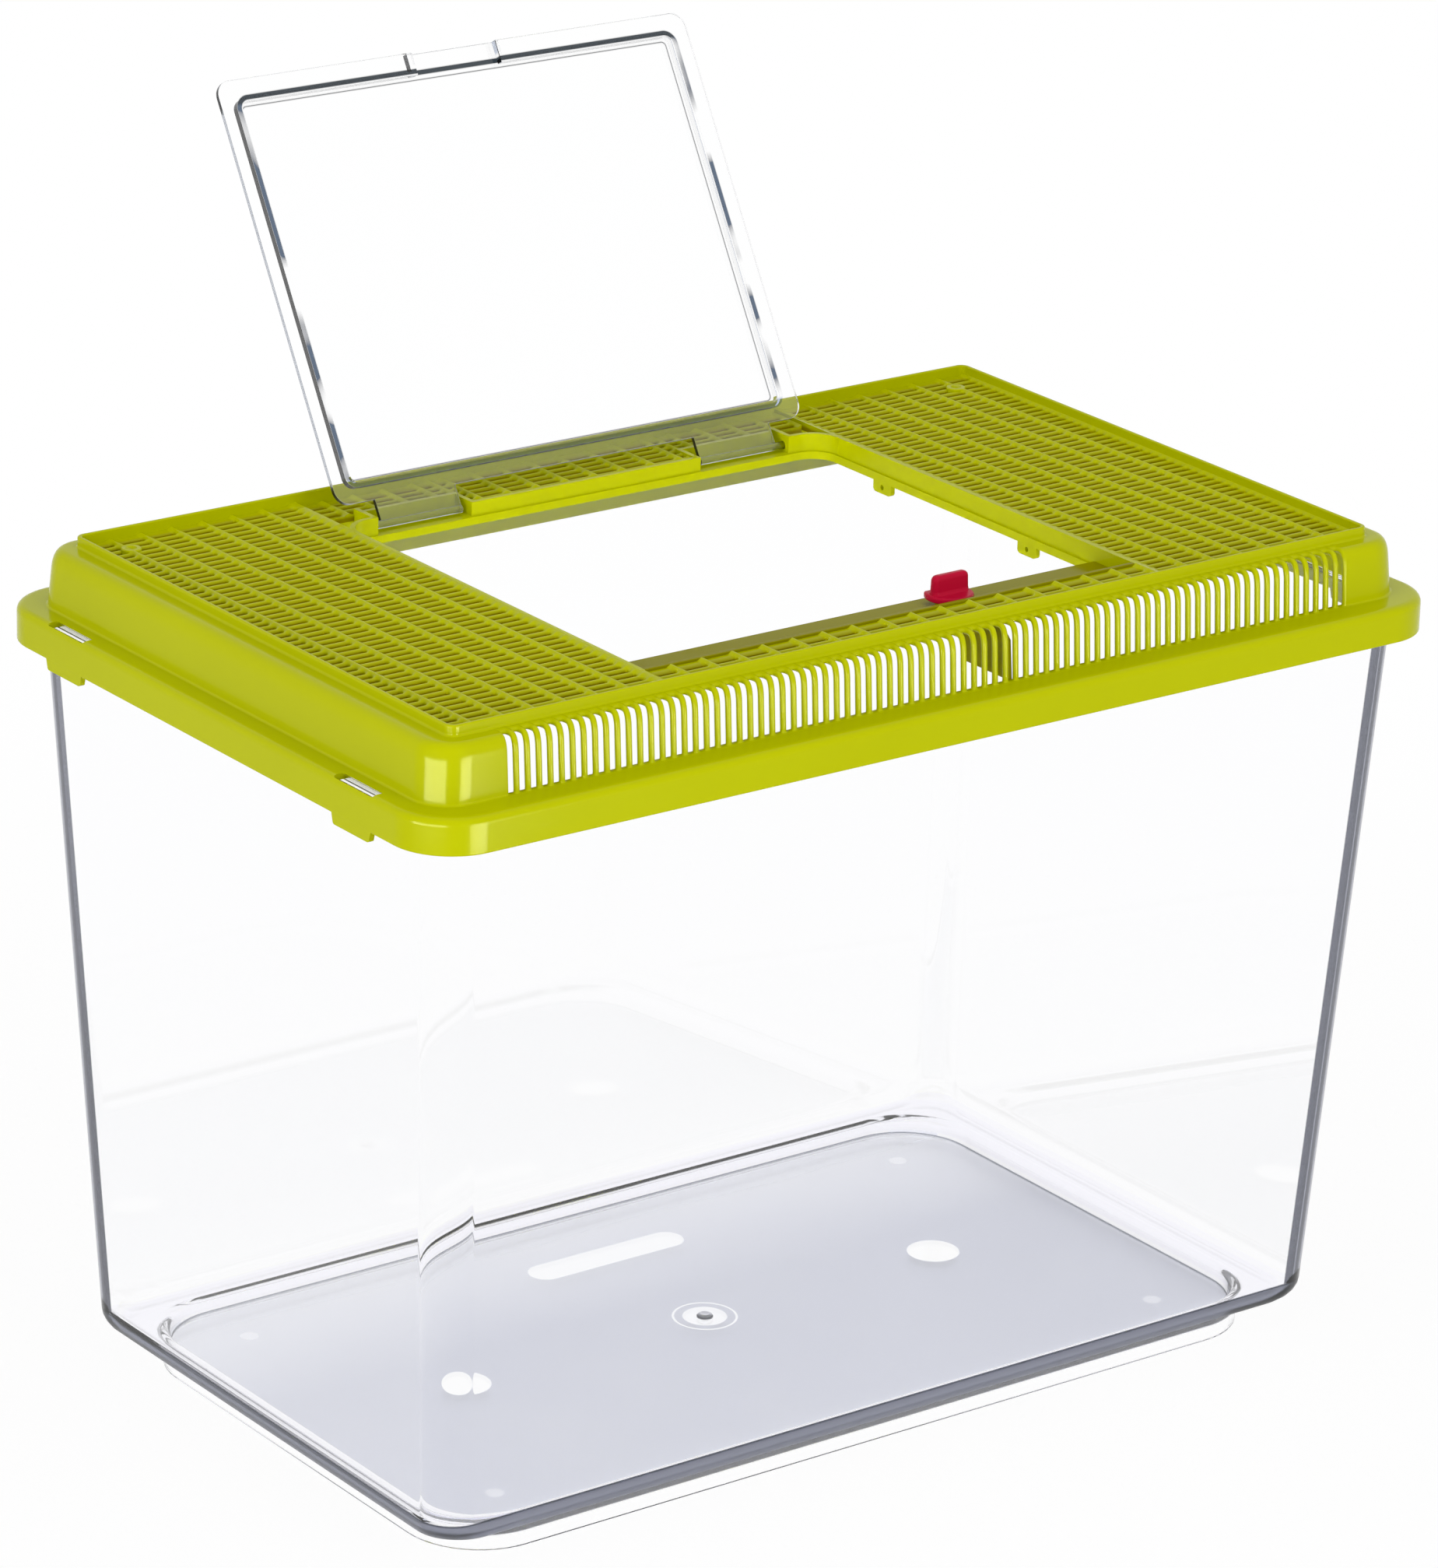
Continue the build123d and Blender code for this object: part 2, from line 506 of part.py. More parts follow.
def build_all():
    """Every node of the keeper by name."""
    side_ribs = make_side_ribs()
    side_slats = slats_of(side_panel(), 0)
    side_wall = make_side_wall()
    return {
        "tank": make_tank(),
        "lid_rim": make_lid_rim(),
        "front_louvre": make_front_louvre(),
        "grille_left_ribs": side_ribs,
        "grille_left_slats": side_slats,
        "grille_right_ribs": mirrored(side_ribs),
        "grille_right_slats": mirrored(side_slats),
        "grille_front_ribs": ribs_of(front_panel(), 0),
        "grille_front_slats": slats_of(front_panel(), 0),
        "grille_rear_ribs": ribs_of(rear_panel(), REAR_STEP),
        "grille_rear_slats": slats_of(rear_panel(), REAR_STEP),
        "opening_wall_left": side_wall,
        "opening_wall_right": mirrored(side_wall),
        "front_ledge": make_front_ledge(),
        "hinge_wall": make_hinge_wall(),
        "hatch": make_hatch(),
        "latch_knob": make_latch(),
    }


os.makedirs("parts", exist_ok=True)
for name, solid in build_all().items():
    export_step(solid, f"parts/{name}.step")
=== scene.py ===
"""Looks for the plastic pet keeper: clear tank, green ventilated lid, clear hatch, crimson latch."""
import logging
import math
from abc import ABC, abstractmethod
from dataclasses import dataclass, replace
from enum import Enum
from typing import Callable, Iterable, Sequence

import bmesh
import bpy
from mathutils import Matrix, Vector


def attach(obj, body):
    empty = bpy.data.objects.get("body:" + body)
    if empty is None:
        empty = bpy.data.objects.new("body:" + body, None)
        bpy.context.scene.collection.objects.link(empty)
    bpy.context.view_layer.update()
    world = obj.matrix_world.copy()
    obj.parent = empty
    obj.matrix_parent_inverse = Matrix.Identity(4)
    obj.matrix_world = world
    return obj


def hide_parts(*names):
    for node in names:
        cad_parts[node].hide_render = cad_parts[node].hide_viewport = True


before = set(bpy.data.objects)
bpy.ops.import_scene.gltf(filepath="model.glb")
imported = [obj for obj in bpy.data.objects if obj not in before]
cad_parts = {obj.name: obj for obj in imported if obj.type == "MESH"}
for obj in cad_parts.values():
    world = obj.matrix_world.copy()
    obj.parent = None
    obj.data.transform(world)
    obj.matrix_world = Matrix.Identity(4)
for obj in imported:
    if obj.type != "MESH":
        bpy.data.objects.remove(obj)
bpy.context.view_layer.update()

LOG = logging.getLogger("keeper")
MM = 0.001
Point = tuple[float, float, float]
Span = tuple[float, float]
Plan = tuple[float, float, float]  # half length, half depth and corner radius of a rounded rectangle


class Body(Enum):
    """Moving bodies of the keeper."""

    TANK = "tank"
    LID = "lid"
    HATCH = "hatch"
    LATCH = "latch"


class Slot(Enum):
    """Material slots that the record names."""

    CLEAR_TANK = "clear_tank"
    GREEN = "green_plastic"
    CLEAR_HATCH = "clear_hatch"
    RED = "red_plastic"


# --- shapes ------------------------------------------------------------------------------------
LARGEST_SHARE = 0.48  # a rounding takes less than half of each stretch beside it
SMALLEST_GAP = 1e-6
SMALLEST_RADIUS = 0.05
AXIS_RADIUS = 0.001  # points on the axis of a turned form keep this radius until they are welded
WELD = 0.0005
COPY_WELD = 0.002
FLAT_ANGLE = 1.0
HARD_ANGLE = 35.0
SLOT_END_STEPS = 8
ROUND_OVER = (0, 22, 45, 68, 90)  # degrees at which a bar's rounded edge has points
HARD_CREASE = 32.0
SOFT_CREASE = 60.0


@dataclass(frozen=True)
class Section:
    """Rounded rectangle at one height, in millimetres, with how far the profile is rounded there."""

    half_x: float
    half_y: float
    corner: float
    z: float
    soften: float = 0.0

    def mixed(self, other: "Section", share: float) -> "Section":
        """Section a share of the way to another one."""
        keep = 1.0 - share
        return Section(
            self.half_x * keep + other.half_x * share,
            self.half_y * keep + other.half_y * share,
            self.corner * keep + other.corner * share,
            self.z * keep + other.z * share,
        )

    def gap(self, other: "Section") -> float:
        """Distance between two sections along the profile."""
        return math.hypot(self.half_x - other.half_x, self.z - other.z)

    def ring(self, corner_steps: int) -> list[Point]:
        """Points round the section, counter-clockwise from the right end.

        Args:
            corner_steps: Segments in each rounded corner.

        Returns:
            The points, the same number for every section.
        """
        points: list[Point] = []
        radius = max(self.corner, SMALLEST_RADIUS)
        for quarter, (sign_x, sign_y) in enumerate(((1, 1), (-1, 1), (-1, -1), (1, -1))):
            centre_x = sign_x * (self.half_x - radius)
            centre_y = sign_y * (self.half_y - radius)
            for step in range(corner_steps + 1):
                angle = math.pi / 2 * (quarter + step / corner_steps)
                points.append((centre_x + radius * math.cos(angle),
                               centre_y + radius * math.sin(angle), self.z))
        return points


def softened_profile(keys: Sequence[Section], closed: bool, steps: int = 6) -> list[Section]:
    """Rounds a profile at each section that asks for it.

    Args:
        keys: Sections at the profile's corners.
        closed: True where the last section joins the first.
        steps: Segments in each rounding.

    Returns:
        The sections of the rounded profile, in order.
    """
    result: list[Section] = []
    count = len(keys)
    for index, key in enumerate(keys):
        ends = not closed and index in (0, count - 1)
        if ends or key.soften <= 0.0:
            result.append(key)
            continue
        before, after = keys[index - 1], keys[(index + 1) % count]
        shares = [min(key.soften / max(key.gap(beside), SMALLEST_GAP), LARGEST_SHARE)
                  for beside in (before, after)]
        start, stop = key.mixed(before, shares[0]), key.mixed(after, shares[1])
        for step in range(steps + 1):
            t = step / steps
            result.append(start.mixed(key, t).mixed(key.mixed(stop, t), t))
    return result


class Shape:
    """Collects points and faces in millimetres, then makes one mesh object of them."""

    def __init__(self) -> None:
        """Starts an empty shape."""
        self.points: list[Point] = []
        self.faces: list[tuple[int, ...]] = []

    def add(self, points: Iterable[Point]) -> list[int]:
        """Adds points and returns their numbers."""
        first = len(self.points)
        self.points.extend(points)
        return list(range(first, len(self.points)))

    def bridge(self, lower: Sequence[int], upper: Sequence[int], closed: bool = True) -> None:
        """Joins two rows of points with a strip of four-sided faces."""
        last = len(lower) if closed else len(lower) - 1
        for index in range(last):
            after = (index + 1) % len(lower)
            self.faces.append((lower[index], lower[after], upper[after], upper[index]))

    def loft(self, rings: Sequence[Sequence[Point]], closed: bool = False) -> None:
        """Skins rings of points.

        Args:
            rings: Rings with the same number of points.
            closed: True to join the last ring to the first; otherwise both ends are capped.
        """
        rows = [self.add(ring) for ring in rings]
        for lower, upper in zip(rows, rows[1:]):
            self.bridge(lower, upper)
        if closed:
            self.bridge(rows[-1], rows[0])
        else:
            self.faces.append(tuple(reversed(rows[0])))
            self.faces.append(tuple(rows[-1]))

    def prism(self, outline: Sequence[Span], low: float, high: float,
              place: Callable[[float, float, float], Point]) -> None:
        """Straight prism between two depths.

        Args:
            outline: Points of the outline.
            low: Depth of one end.
            high: Depth of the other end.
            place: Turns two outline coordinates and a depth into a point.
        """
        self.loft([[place(u, v, low) for u, v in outline], [place(u, v, high) for u, v in outline]])

    def turned(self, centre: Span, profile: Sequence[Span], steps: int = 32) -> None:
        """Turns a profile round an upright axis.

        Args:
            centre: X and Y of the axis.
            profile: Radius and height of each point of the profile, from the foot up.
            steps: Segments round the axis.
        """
        rings: list[list[Point]] = []
        for radius, z in profile:
            reach = max(radius, AXIS_RADIUS)
            rings.append([(centre[0] + reach * math.cos(math.tau * step / steps),
                           centre[1] + reach * math.sin(math.tau * step / steps), z)
                          for step in range(steps)])
        self.loft(rings)

    def mesh(self, name: str) -> bpy.types.Mesh:
        """Welds the shape, closes the gap between two open rims and makes a mesh in metres.

        Args:
            name: Name of the mesh.

        Returns:
            The mesh, with outward normals.
        """
        mesh = bpy.data.meshes.new(name)
        mesh.from_pydata([[value * MM for value in point] for point in self.points], [], self.faces)
        work = bmesh.new()
        work.from_mesh(mesh)
        bmesh.ops.remove_doubles(work, verts=work.verts, dist=WELD * MM)
        rims = [edge for edge in work.edges if edge.is_boundary]
        if rims:
            bmesh.ops.bridge_loops(work, edges=rims)
        bmesh.ops.recalc_face_normals(work, faces=work.faces)
        work.to_mesh(mesh)
        work.free()
        return mesh


@dataclass(frozen=True)
class Piece:
    """What every piece of the keeper says about itself."""

    name: str
    body: Body
    slot: Slot
    material: bpy.types.Material
    replaces: tuple[str, ...] = ()

    def place(self, mesh: bpy.types.Mesh, crease: float = HARD_CREASE) -> bpy.types.Object:
        """Makes the object, dresses it and lets it ride on its body.

        Args:
            mesh: The finished mesh, in metres in the shared frame.
            crease: Edges sharper than this many degrees stay sharp.

        Returns:
            The new object.
        """
        thing = bpy.data.objects.new(self.name, mesh)
        bpy.context.scene.collection.objects.link(thing)
        mesh.materials.clear()
        mesh.materials.append(self.material)
        mesh.shade_smooth()
        mesh.set_sharp_from_angle(angle=math.radians(crease))
        weigh = thing.modifiers.new("flat_faces_first", "WEIGHTED_NORMAL")
        weigh.keep_sharp = True
        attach(thing, self.body.value)
        if self.replaces:
            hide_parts(*self.replaces)
        LOG.info("%s: %d faces on %s", self.name, len(mesh.polygons), self.body.value)
        return thing


def eased_copy(nodes: Sequence[str], radius: float, segments: int = 3) -> bpy.types.Mesh:
    """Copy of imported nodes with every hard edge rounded.

    Args:
        nodes: Names of the nodes to copy.
        radius: Edge radius in millimetres.
        segments: Segments in each rounding.

    Returns:
        One mesh that holds the copies.
    """
    work = bmesh.new()
    for node in nodes:
        work.from_mesh(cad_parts[node].data)
    bmesh.ops.remove_doubles(work, verts=work.verts, dist=COPY_WELD * MM)
    bmesh.ops.dissolve_limit(work, angle_limit=math.radians(FLAT_ANGLE), verts=work.verts,
                             edges=work.edges)
    hard = [edge for edge in work.edges
            if edge.is_manifold and edge.calc_face_angle(0.0) > math.radians(HARD_ANGLE)]
    bmesh.ops.bevel(work, geom=hard, offset=radius * MM, offset_type="OFFSET", segments=segments,
                    profile=0.5, affect="EDGES", clamp_overlap=True)
    bmesh.ops.remove_doubles(work, verts=work.verts, dist=COPY_WELD * MM)
    bmesh.ops.recalc_face_normals(work, faces=work.faces)
    mesh = bpy.data.meshes.new("eased")
    work.to_mesh(mesh)
    work.free()
    return mesh


def cut(mesh: bpy.types.Mesh, cutter: Shape) -> bpy.types.Mesh:
    """Takes the cutter's volume away.

    Args:
        mesh: The mesh to cut.
        cutter: Closed shape of what goes.

    Returns:
        The mesh that is left.
    """
    body = bpy.data.objects.new("cut_body", mesh)
    tool = bpy.data.objects.new("cut_tool", cutter.mesh("cut_tool"))
    for thing in (body, tool):
        bpy.context.scene.collection.objects.link(thing)
    modifier = body.modifiers.new("cut", "BOOLEAN")
    modifier.operation = "DIFFERENCE"
    modifier.solver = "EXACT"
    modifier.object = tool
    graph = bpy.context.evaluated_depsgraph_get()
    result = bpy.data.meshes.new_from_object(body.evaluated_get(graph))
    for thing in (body, tool):
        bpy.data.objects.remove(thing)
    return result


def block_outline(x_from: float, x_to: float, y_from: float, y_to: float,
                  corner: float = 0.0, steps: int = 4) -> list[Span]:
    """Outline of a rectangle between two corners.

    Args:
        x_from: Lowest X.
        x_to: Highest X.
        y_from: Lowest Y.
        y_to: Highest Y.
        corner: Corner radius, or 0 for square corners.
        steps: Segments in each rounded corner.

    Returns:
        The points of the outline.
    """
    if corner <= 0.0:
        return [(x_from, y_from), (x_to, y_from), (x_to, y_to), (x_from, y_to)]
    section = Section((x_to - x_from) / 2, (y_to - y_from) / 2, corner, 0.0)
    middle_x, middle_y = (x_from + x_to) / 2, (y_from + y_to) / 2
    return [(middle_x + x, middle_y + y) for x, y, _ in section.ring(steps)]


def flat_place(x: float, y: float, z: float) -> Point:
    """Outline in plan, depth upward."""
    return x, y, z


def smooth_step(value: float) -> float:
    """Eases from 0 to 1."""
    value = min(max(value, 0.0), 1.0)
    return value * value * (3.0 - 2.0 * value)


@dataclass(frozen=True)
class PiercedCell:
    """One slot and the sheet round it; a runs along the slot, b across it.

    A low_end_power under 1 squares the slot's low end.
    """

    a_low: float
    a_high: float
    b_low: float
    b_high: float
    slot_low: float
    slot_high: float
    across_low: float
    across_high: float
    low_end_power: float = 1.0

    def rows(self, breaks: Sequence[float]) -> tuple[list[Span], list[Span]]:
        """Points round the slot, and the points of the cell's edge that they pair with.

        Args:
            breaks: Places along the slot where the sheet bends and needs a point.

        Returns:
            The inner and the outer points, as many of each.
        """
        middle = (self.across_low + self.across_high) / 2
        radius = (self.across_high - self.across_low) / 2
        inner: list[Span] = []
        outer: list[Span] = []
        for sign, tip, edge in ((1, self.slot_high, self.a_high), (-1, self.slot_low, self.a_low)):
            centre = tip - sign * radius
            power = self.low_end_power if sign < 0 else 1.0
            side_low, side_high = (self.b_low, self.b_high) if sign > 0 else (self.b_high, self.b_low)
            for step in range(SLOT_END_STEPS + 1):
                angle = math.pi * (step / SLOT_END_STEPS - 0.5)
                along, across = max(math.cos(angle), 0.0), math.sin(angle)
                across = math.copysign(abs(across) ** power, across)
                inner.append((centre + sign * radius * along ** power, middle + sign * radius * across))
            half_way = (centre + edge) / 2
            outer += [(centre, side_low), (half_way, side_low), (edge, side_low),
                      (edge, (side_low + middle) / 2), (edge, middle), (edge, (side_high + middle) / 2),
                      (edge, side_high), (half_way, side_high), (centre, side_high)]
            inside = sorted((a for a in breaks if self.slot_low + radius < a < self.slot_high - radius),
                            reverse=sign > 0)
            inner += [(a, middle + sign * radius) for a in inside]
            outer += [(a, side_high) for a in inside]
        return inner, outer


@dataclass(frozen=True)
class PiercedSheet:
    """Sheet of slotted cells whose bars are rounded over on top, and below if asked.

    Breaks are the places along the slots where the sheet bends.
    """

    thickness: float
    rounding: float
    crest: Callable[[PiercedCell, float], float]
    place: Callable[[float, float, float], Point]
    breaks: tuple[float, ...] = ()
    under_rounding: float = 0.0

    def add_cell(self, shape: Shape, cell: PiercedCell) -> None:
        """Adds the top, the slot's wall and the underside of one cell.

        Args:
            shape: The shape that they are added to.
            cell: The cell.
        """
        inner, outer = cell.rows(self.breaks)
        under = [(degrees, -self.thickness + self.under_rounding * (1.0 - math.sin(math.radians(degrees))))
                 for degrees in (reversed(ROUND_OVER) if self.under_rounding else (90, 0))]
        over = [(degrees, -self.rounding * (1.0 - math.sin(math.radians(degrees))))
                for degrees in ROUND_OVER]
        rows: list[list[int]] = []
        for level, (degrees, height) in enumerate(under + over):
            share = 1.0 - math.cos(math.radians(degrees))
            row: list[Point] = []
            for (a_in, b_in), (a_out, b_out) in zip(inner, outer):
                a, b = a_in + (a_out - a_in) * share, b_in + (b_out - b_in) * share
                crest = self.crest(cell, a) if level >= len(under) else 0.0
                row.append(self.place(a, b, height + crest))
            rows.append(shape.add(row))
        for lower, upper in zip(rows, rows[1:]):
            shape.bridge(lower, upper)


# --- finishes ----------------------------------------------------------------------------------
Socket = bpy.types.NodeSocket
Color = tuple[float, float, float]
Band = tuple[float, float, float]  # low and high end and half the width of the fade, in millimetres
WHITE: Color = (1.0, 1.0, 1.0)


class Graph:
    """Writes shader maths into one node tree."""

    def __init__(self, tree: bpy.types.NodeTree) -> None:
        """Takes the tree to write into."""
        self.tree = tree

    def fill(self, socket: Socket, value: object) -> None:
        """Links a socket to another, or sets its value."""
        if isinstance(value, bpy.types.NodeSocket):
            self.tree.links.new(value, socket)
        elif isinstance(value, tuple) and len(value) == 3 and socket.type == "RGBA":
            socket.default_value = (*value, 1.0)
        else:
            socket.default_value = value

    def node(self, kind: str, inputs: dict[object, object]) -> bpy.types.Node:
        """Adds a node and fills its inputs with values or with other nodes' outputs."""
        node = self.tree.nodes.new(kind)
        for key, value in inputs.items():
            self.fill(node.inputs[key], value)
        return node

    def math(self, operation: str, *terms: object) -> Socket:
        """Output of a math node on values or sockets."""
        node = self.tree.nodes.new("ShaderNodeMath")
        node.operation = operation
        for socket, value in zip(node.inputs, terms):
            self.fill(socket, value)
        return node.outputs[0]

    def product(self, first: object, *others: object) -> Socket:
        """Product of two or more masks."""
        for other in others:
            first = self.math("MULTIPLY", first, other)
        return first

    def rise(self, value: Socket, start: float, end: float) -> Socket:
        """Mask that runs from 0 at start to 1 at end; start may be the larger."""
        low, high = min(start, end), max(start, end)
        node = self.node("ShaderNodeMapRange", {0: value, 1: low, 2: high,
                                                3: 0.0 if start < end else 1.0,
                                                4: 1.0 if start < end else 0.0})
        return node.outputs[0]

    def fade(self, value: Socket, span: Span) -> Socket:
        """Mask that runs from 0 at the first millimetre value to 1 at the second."""
        return self.rise(value, span[0] * MM, span[1] * MM)

    def band(self, value: Socket, band: Band) -> Socket:
        """Mask that is 1 between two millimetre values and fades over a soft edge."""
        low, high, soft = (size * MM for size in band)
        return self.product(self.rise(value, low - soft, low + soft),
                            self.rise(value, high + soft, high - soft))

    def rest(self, mask: Socket) -> Socket:
        """Mask of what another mask leaves out."""
        return self.math("SUBTRACT", 1.0, mask)

    def entering(self) -> Socket:
        """Mask of the faces that light meets from outside, so that a tint counts once."""
        return self.rest(self.tree.nodes.new("ShaderNodeNewGeometry").outputs["Backfacing"])

    def ramp(self, value: Socket, stops: Sequence[tuple[float, Color]]) -> Socket:
        """Colour that runs through stops along a value."""
        node = self.node("ShaderNodeValToRGB", {0: value})
        marks = node.color_ramp.elements
        marks[0].position, marks[1].position = stops[0][0], stops[-1][0]
        for position, _ in stops[1:-1]:
            marks.new(position)
        for mark, (_, color) in zip(marks, stops):
            mark.color = (*color, 1.0)
        return node.outputs[0]

    def blend(self, share: object, first: object, second: object) -> Socket:
        """Mix of two colours, each given as a colour or a socket."""
        node = self.tree.nodes.new("ShaderNodeMix")
        node.data_type = "RGBA"
        for socket, value in zip((node.inputs[0], node.inputs[6], node.inputs[7]), (share, first, second)):
            self.fill(socket, value)
        return node.outputs[2]

    def noise(self, where: Socket, scale: object, detail: float) -> Socket:
        """Level of a noise texture."""
        return self.node("ShaderNodeTexNoise", {"Vector": where, "Scale": scale,
                                                "Detail": detail}).outputs[0]

    def parts(self, vector: Socket) -> tuple[Socket, Socket, Socket]:
        """X, Y and Z of a vector."""
        outputs = self.node("ShaderNodeSeparateXYZ", {0: vector}).outputs
        return outputs[0], outputs[1], outputs[2]

    def coordinate(self, kind: str) -> Socket:
        """The point, or with Normal the way that the surface faces, in the piece's own frame."""
        return self.tree.nodes.new("ShaderNodeTexCoord").outputs[kind]

    def radius(self, x: Socket, y: Socket, centre: Span, half: float = 0.0) -> Socket:
        """Distance from a point, or from a line along X that reaches half to each side of it."""
        aside = self.math("ABSOLUTE", self.math("SUBTRACT", x, centre[0] * MM))
        out_x = self.math("MAXIMUM", self.math("SUBTRACT", aside, half * MM), 0.0)
        return self.length(out_x, self.math("SUBTRACT", y, centre[1] * MM))

    def length(self, first: Socket, second: Socket) -> Socket:
        """Length of a vector with two parts."""
        square = self.math("ADD", self.product(first, first), self.product(second, second))
        return self.math("SQRT", square)


def new_material(name: str) -> tuple[bpy.types.Material, Graph, bpy.types.Node]:
    """New material, with what writes into it and its surface node."""
    material = bpy.data.materials.new(name)
    material.use_nodes = True
    graph = Graph(material.node_tree)
    return material, graph, graph.tree.nodes["Principled BSDF"]


@dataclass(frozen=True)
class MouldedSkin:
    """Sizes of the faint marks that moulding and handling leave, as noise scales and shares."""

    name: str = "moulded_surface"
    cloud_scale: float = 14.0
    cloud_detail: float = 3.0
    grain_detail: float = 2.0
    rub_detail: float = 4.0
    cloud_polish: float = 0.08
    rub_turn: Point = (0.2, 0.1, 0.7)
    rub_scale: Point = (40.0, 900.0, 300.0)
    rub_share: Span = (0.62, 0.8)
    inputs: tuple[tuple[str, float], ...] = (("Drift", 0.05), ("Polish", 0.3), ("Rub", 0.06),
                                             ("Grain", 900.0))
    outputs: tuple[str, ...] = ("Tone", "Roughness", "Relief")

    def group(self) -> bpy.types.NodeTree:
        """Builds the group once: tone drift, uneven polish, fine rub marks and relief.

        Returns:
            The node group.
        """
        if self.name in bpy.data.node_groups:
            return bpy.data.node_groups[self.name]
        tree = bpy.data.node_groups.new(self.name, "ShaderNodeTree")
        for label, value in self.inputs:
            socket = tree.interface.new_socket(label, in_out="INPUT", socket_type="NodeSocketFloat")
            socket.default_value = value
        for label in self.outputs:
            tree.interface.new_socket(label, in_out="OUTPUT", socket_type="NodeSocketFloat")
        graph = Graph(tree)
        source = tree.nodes.new("NodeGroupInput").outputs
        target = tree.nodes.new("NodeGroupOutput").inputs
        where = tree.nodes.new("ShaderNodeTexCoord").outputs["Object"]
        cloud = graph.noise(where, self.cloud_scale, self.cloud_detail)
        grain = graph.noise(where, source["Grain"], self.grain_detail)
        along = graph.node("ShaderNodeMapping", {"Vector": where, "Rotation": self.rub_turn,
                                                 "Scale": self.rub_scale})
        rub = graph.rise(graph.noise(along.outputs[0], 1.0, self.rub_detail), *self.rub_share)
        centred = graph.math("SUBTRACT", cloud, 0.5)
        rubbed = graph.math("MULTIPLY", rub, source["Rub"])
        polish = graph.math("ADD", source["Polish"], graph.math("MULTIPLY", centred, self.cloud_polish))
        graph.fill(target["Tone"], graph.math("ADD", graph.math("MULTIPLY", centred, source["Drift"]), 1.0))
        graph.fill(target["Roughness"], graph.math("ADD", polish, rubbed))
        graph.fill(target["Relief"], graph.math("ADD", grain, rubbed))
        return tree


def moulded(graph: Graph, values: dict[str, float]) -> bpy.types.Node:
    """The moulding group placed in a material with its own values."""
    group = graph.tree.nodes.new("ShaderNodeGroup")
    group.node_tree = MouldedSkin().group()
    for label, value in values.items():
        group.inputs[label].default_value = value
    return group


@dataclass(frozen=True)
class PlasticFinish:
    """Opaque moulded plastic, which can darken to a painted shade between two heights, down in its slots,
    if asked.
    """

    name: str
    color: Color
    shade: Color
    polish: float
    specular: float
    glint: Color = WHITE
    relief: float = 0.02
    relief_depth: float = 0.2
    drift: float = 1.2
    tone_offset: float = 0.4
    # heights between which painted shade darkens the colour, and the colour of that painted shade
    painted_shade_heights: Span = (0.0, 0.0)
    painted_shade_color: Color = (0.25, 0.205, 0.0)

    def material(self) -> bpy.types.Material:
        """Material whose colour drifts between its own colour and its shade."""
        material, graph, surface = new_material(self.name)
        group = moulded(graph, {"Drift": self.drift, "Polish": self.polish})
        share = graph.math("SUBTRACT", group.outputs["Tone"], self.tone_offset)
        color = graph.blend(share, self.shade, self.color)
        # painted shade: darker towards the bottom of the slots, where shade falls
        if self.painted_shade_heights[0] > self.painted_shade_heights[1]:
            _, _, z = graph.parts(graph.coordinate("Object"))
            deep = graph.fade(z, self.painted_shade_heights)
            color = graph.blend(deep, color, self.painted_shade_color)
        graph.fill(surface.inputs["Base Color"], color)
        graph.fill(surface.inputs["Roughness"], group.outputs["Roughness"])
        bump = graph.node("ShaderNodeBump", {"Height": group.outputs["Relief"], "Strength": self.relief,
                                             "Distance": self.relief_depth * MM})
        graph.fill(surface.inputs["Normal"], bump.outputs[0])
        surface.inputs["Specular IOR Level"].default_value = self.specular
        surface.inputs["Specular Tint"].default_value = (*self.glint, 1.0)
        return material


@dataclass(frozen=True)
class ClearFinish(ABC):
    """Clear moulded plastic that tints with the length of the path through it."""

    name: str
    absorb: Color
    density: float
    specular: float = 0.22
    index: float = 1.5
    drift: float = 0.3
    rub: float = 0.02

    def material(self) -> bpy.types.Material:
        """Glass-like material with the marks that the kind of piece adds."""
        material, graph, surface = new_material(self.name)
        surface.inputs["Transmission Weight"].default_value = 1.0
        surface.inputs["IOR"].default_value = self.index
        surface.inputs["Specular IOR Level"].default_value = self.specular
        group = moulded(graph, {"Polish": 0.0, "Rub": self.rub, "Drift": self.drift})
        color, roughness = self.marks(graph, group.outputs["Tone"], group.outputs["Roughness"])
        graph.fill(surface.inputs["Base Color"], color)
        graph.fill(surface.inputs["Roughness"], roughness)
        volume = graph.node("ShaderNodeVolumeAbsorption", {"Color": self.absorb, "Density": self.density})
        graph.fill(graph.tree.nodes["Material Output"].inputs["Volume"], volume.outputs[0])
        return material

    @abstractmethod
    def marks(self, graph: Graph, tone: Socket, polish: Socket) -> tuple[Socket, Socket]:
        """Colour and roughness over the piece.

        Args:
            graph: Writes into the material.
            tone: Drift of the moulding's tone about 1.
            polish: Roughness of the plain moulding.

        Returns:
            The colour and the roughness.
        """


@dataclass(frozen=True)
class TankShape:
    """Sizes of the tank that its mesh and its finish share, in millimetres."""

    taper: float = 0.0504
    rim_z: float = 269.6
    rim_half: Span = (197.5, 121.0)
    wall: float = 2.0
    corner: float = 13.0
    foot_z: float = 11.0
    margin_z: float = 13.5
    floor_z: float = 7.5
    gate: Span = (0.0, 1.5)


@dataclass(frozen=True)
class Spot:
    """Clear spot in the frosting, drawn out along X by half_length to each side."""

    x: float
    y: float
    radius: float
    half_length: float = 0.0
    strength: float = 1.0


def clear_spots() -> tuple[Spot, ...]:
    """The two large spots, the long one and the four faint ejector marks."""
    ejectors = tuple(Spot(x, y, 3.2, strength=0.25) for y in (-73.0, 73.0) for x in (-140.0, 140.0))
    return (Spot(-101.0, 2.0, 9.3), Spot(101.0, 2.0, 9.3), Spot(1.0, 62.0, 6.4, 26.0, 0.8), *ejectors)


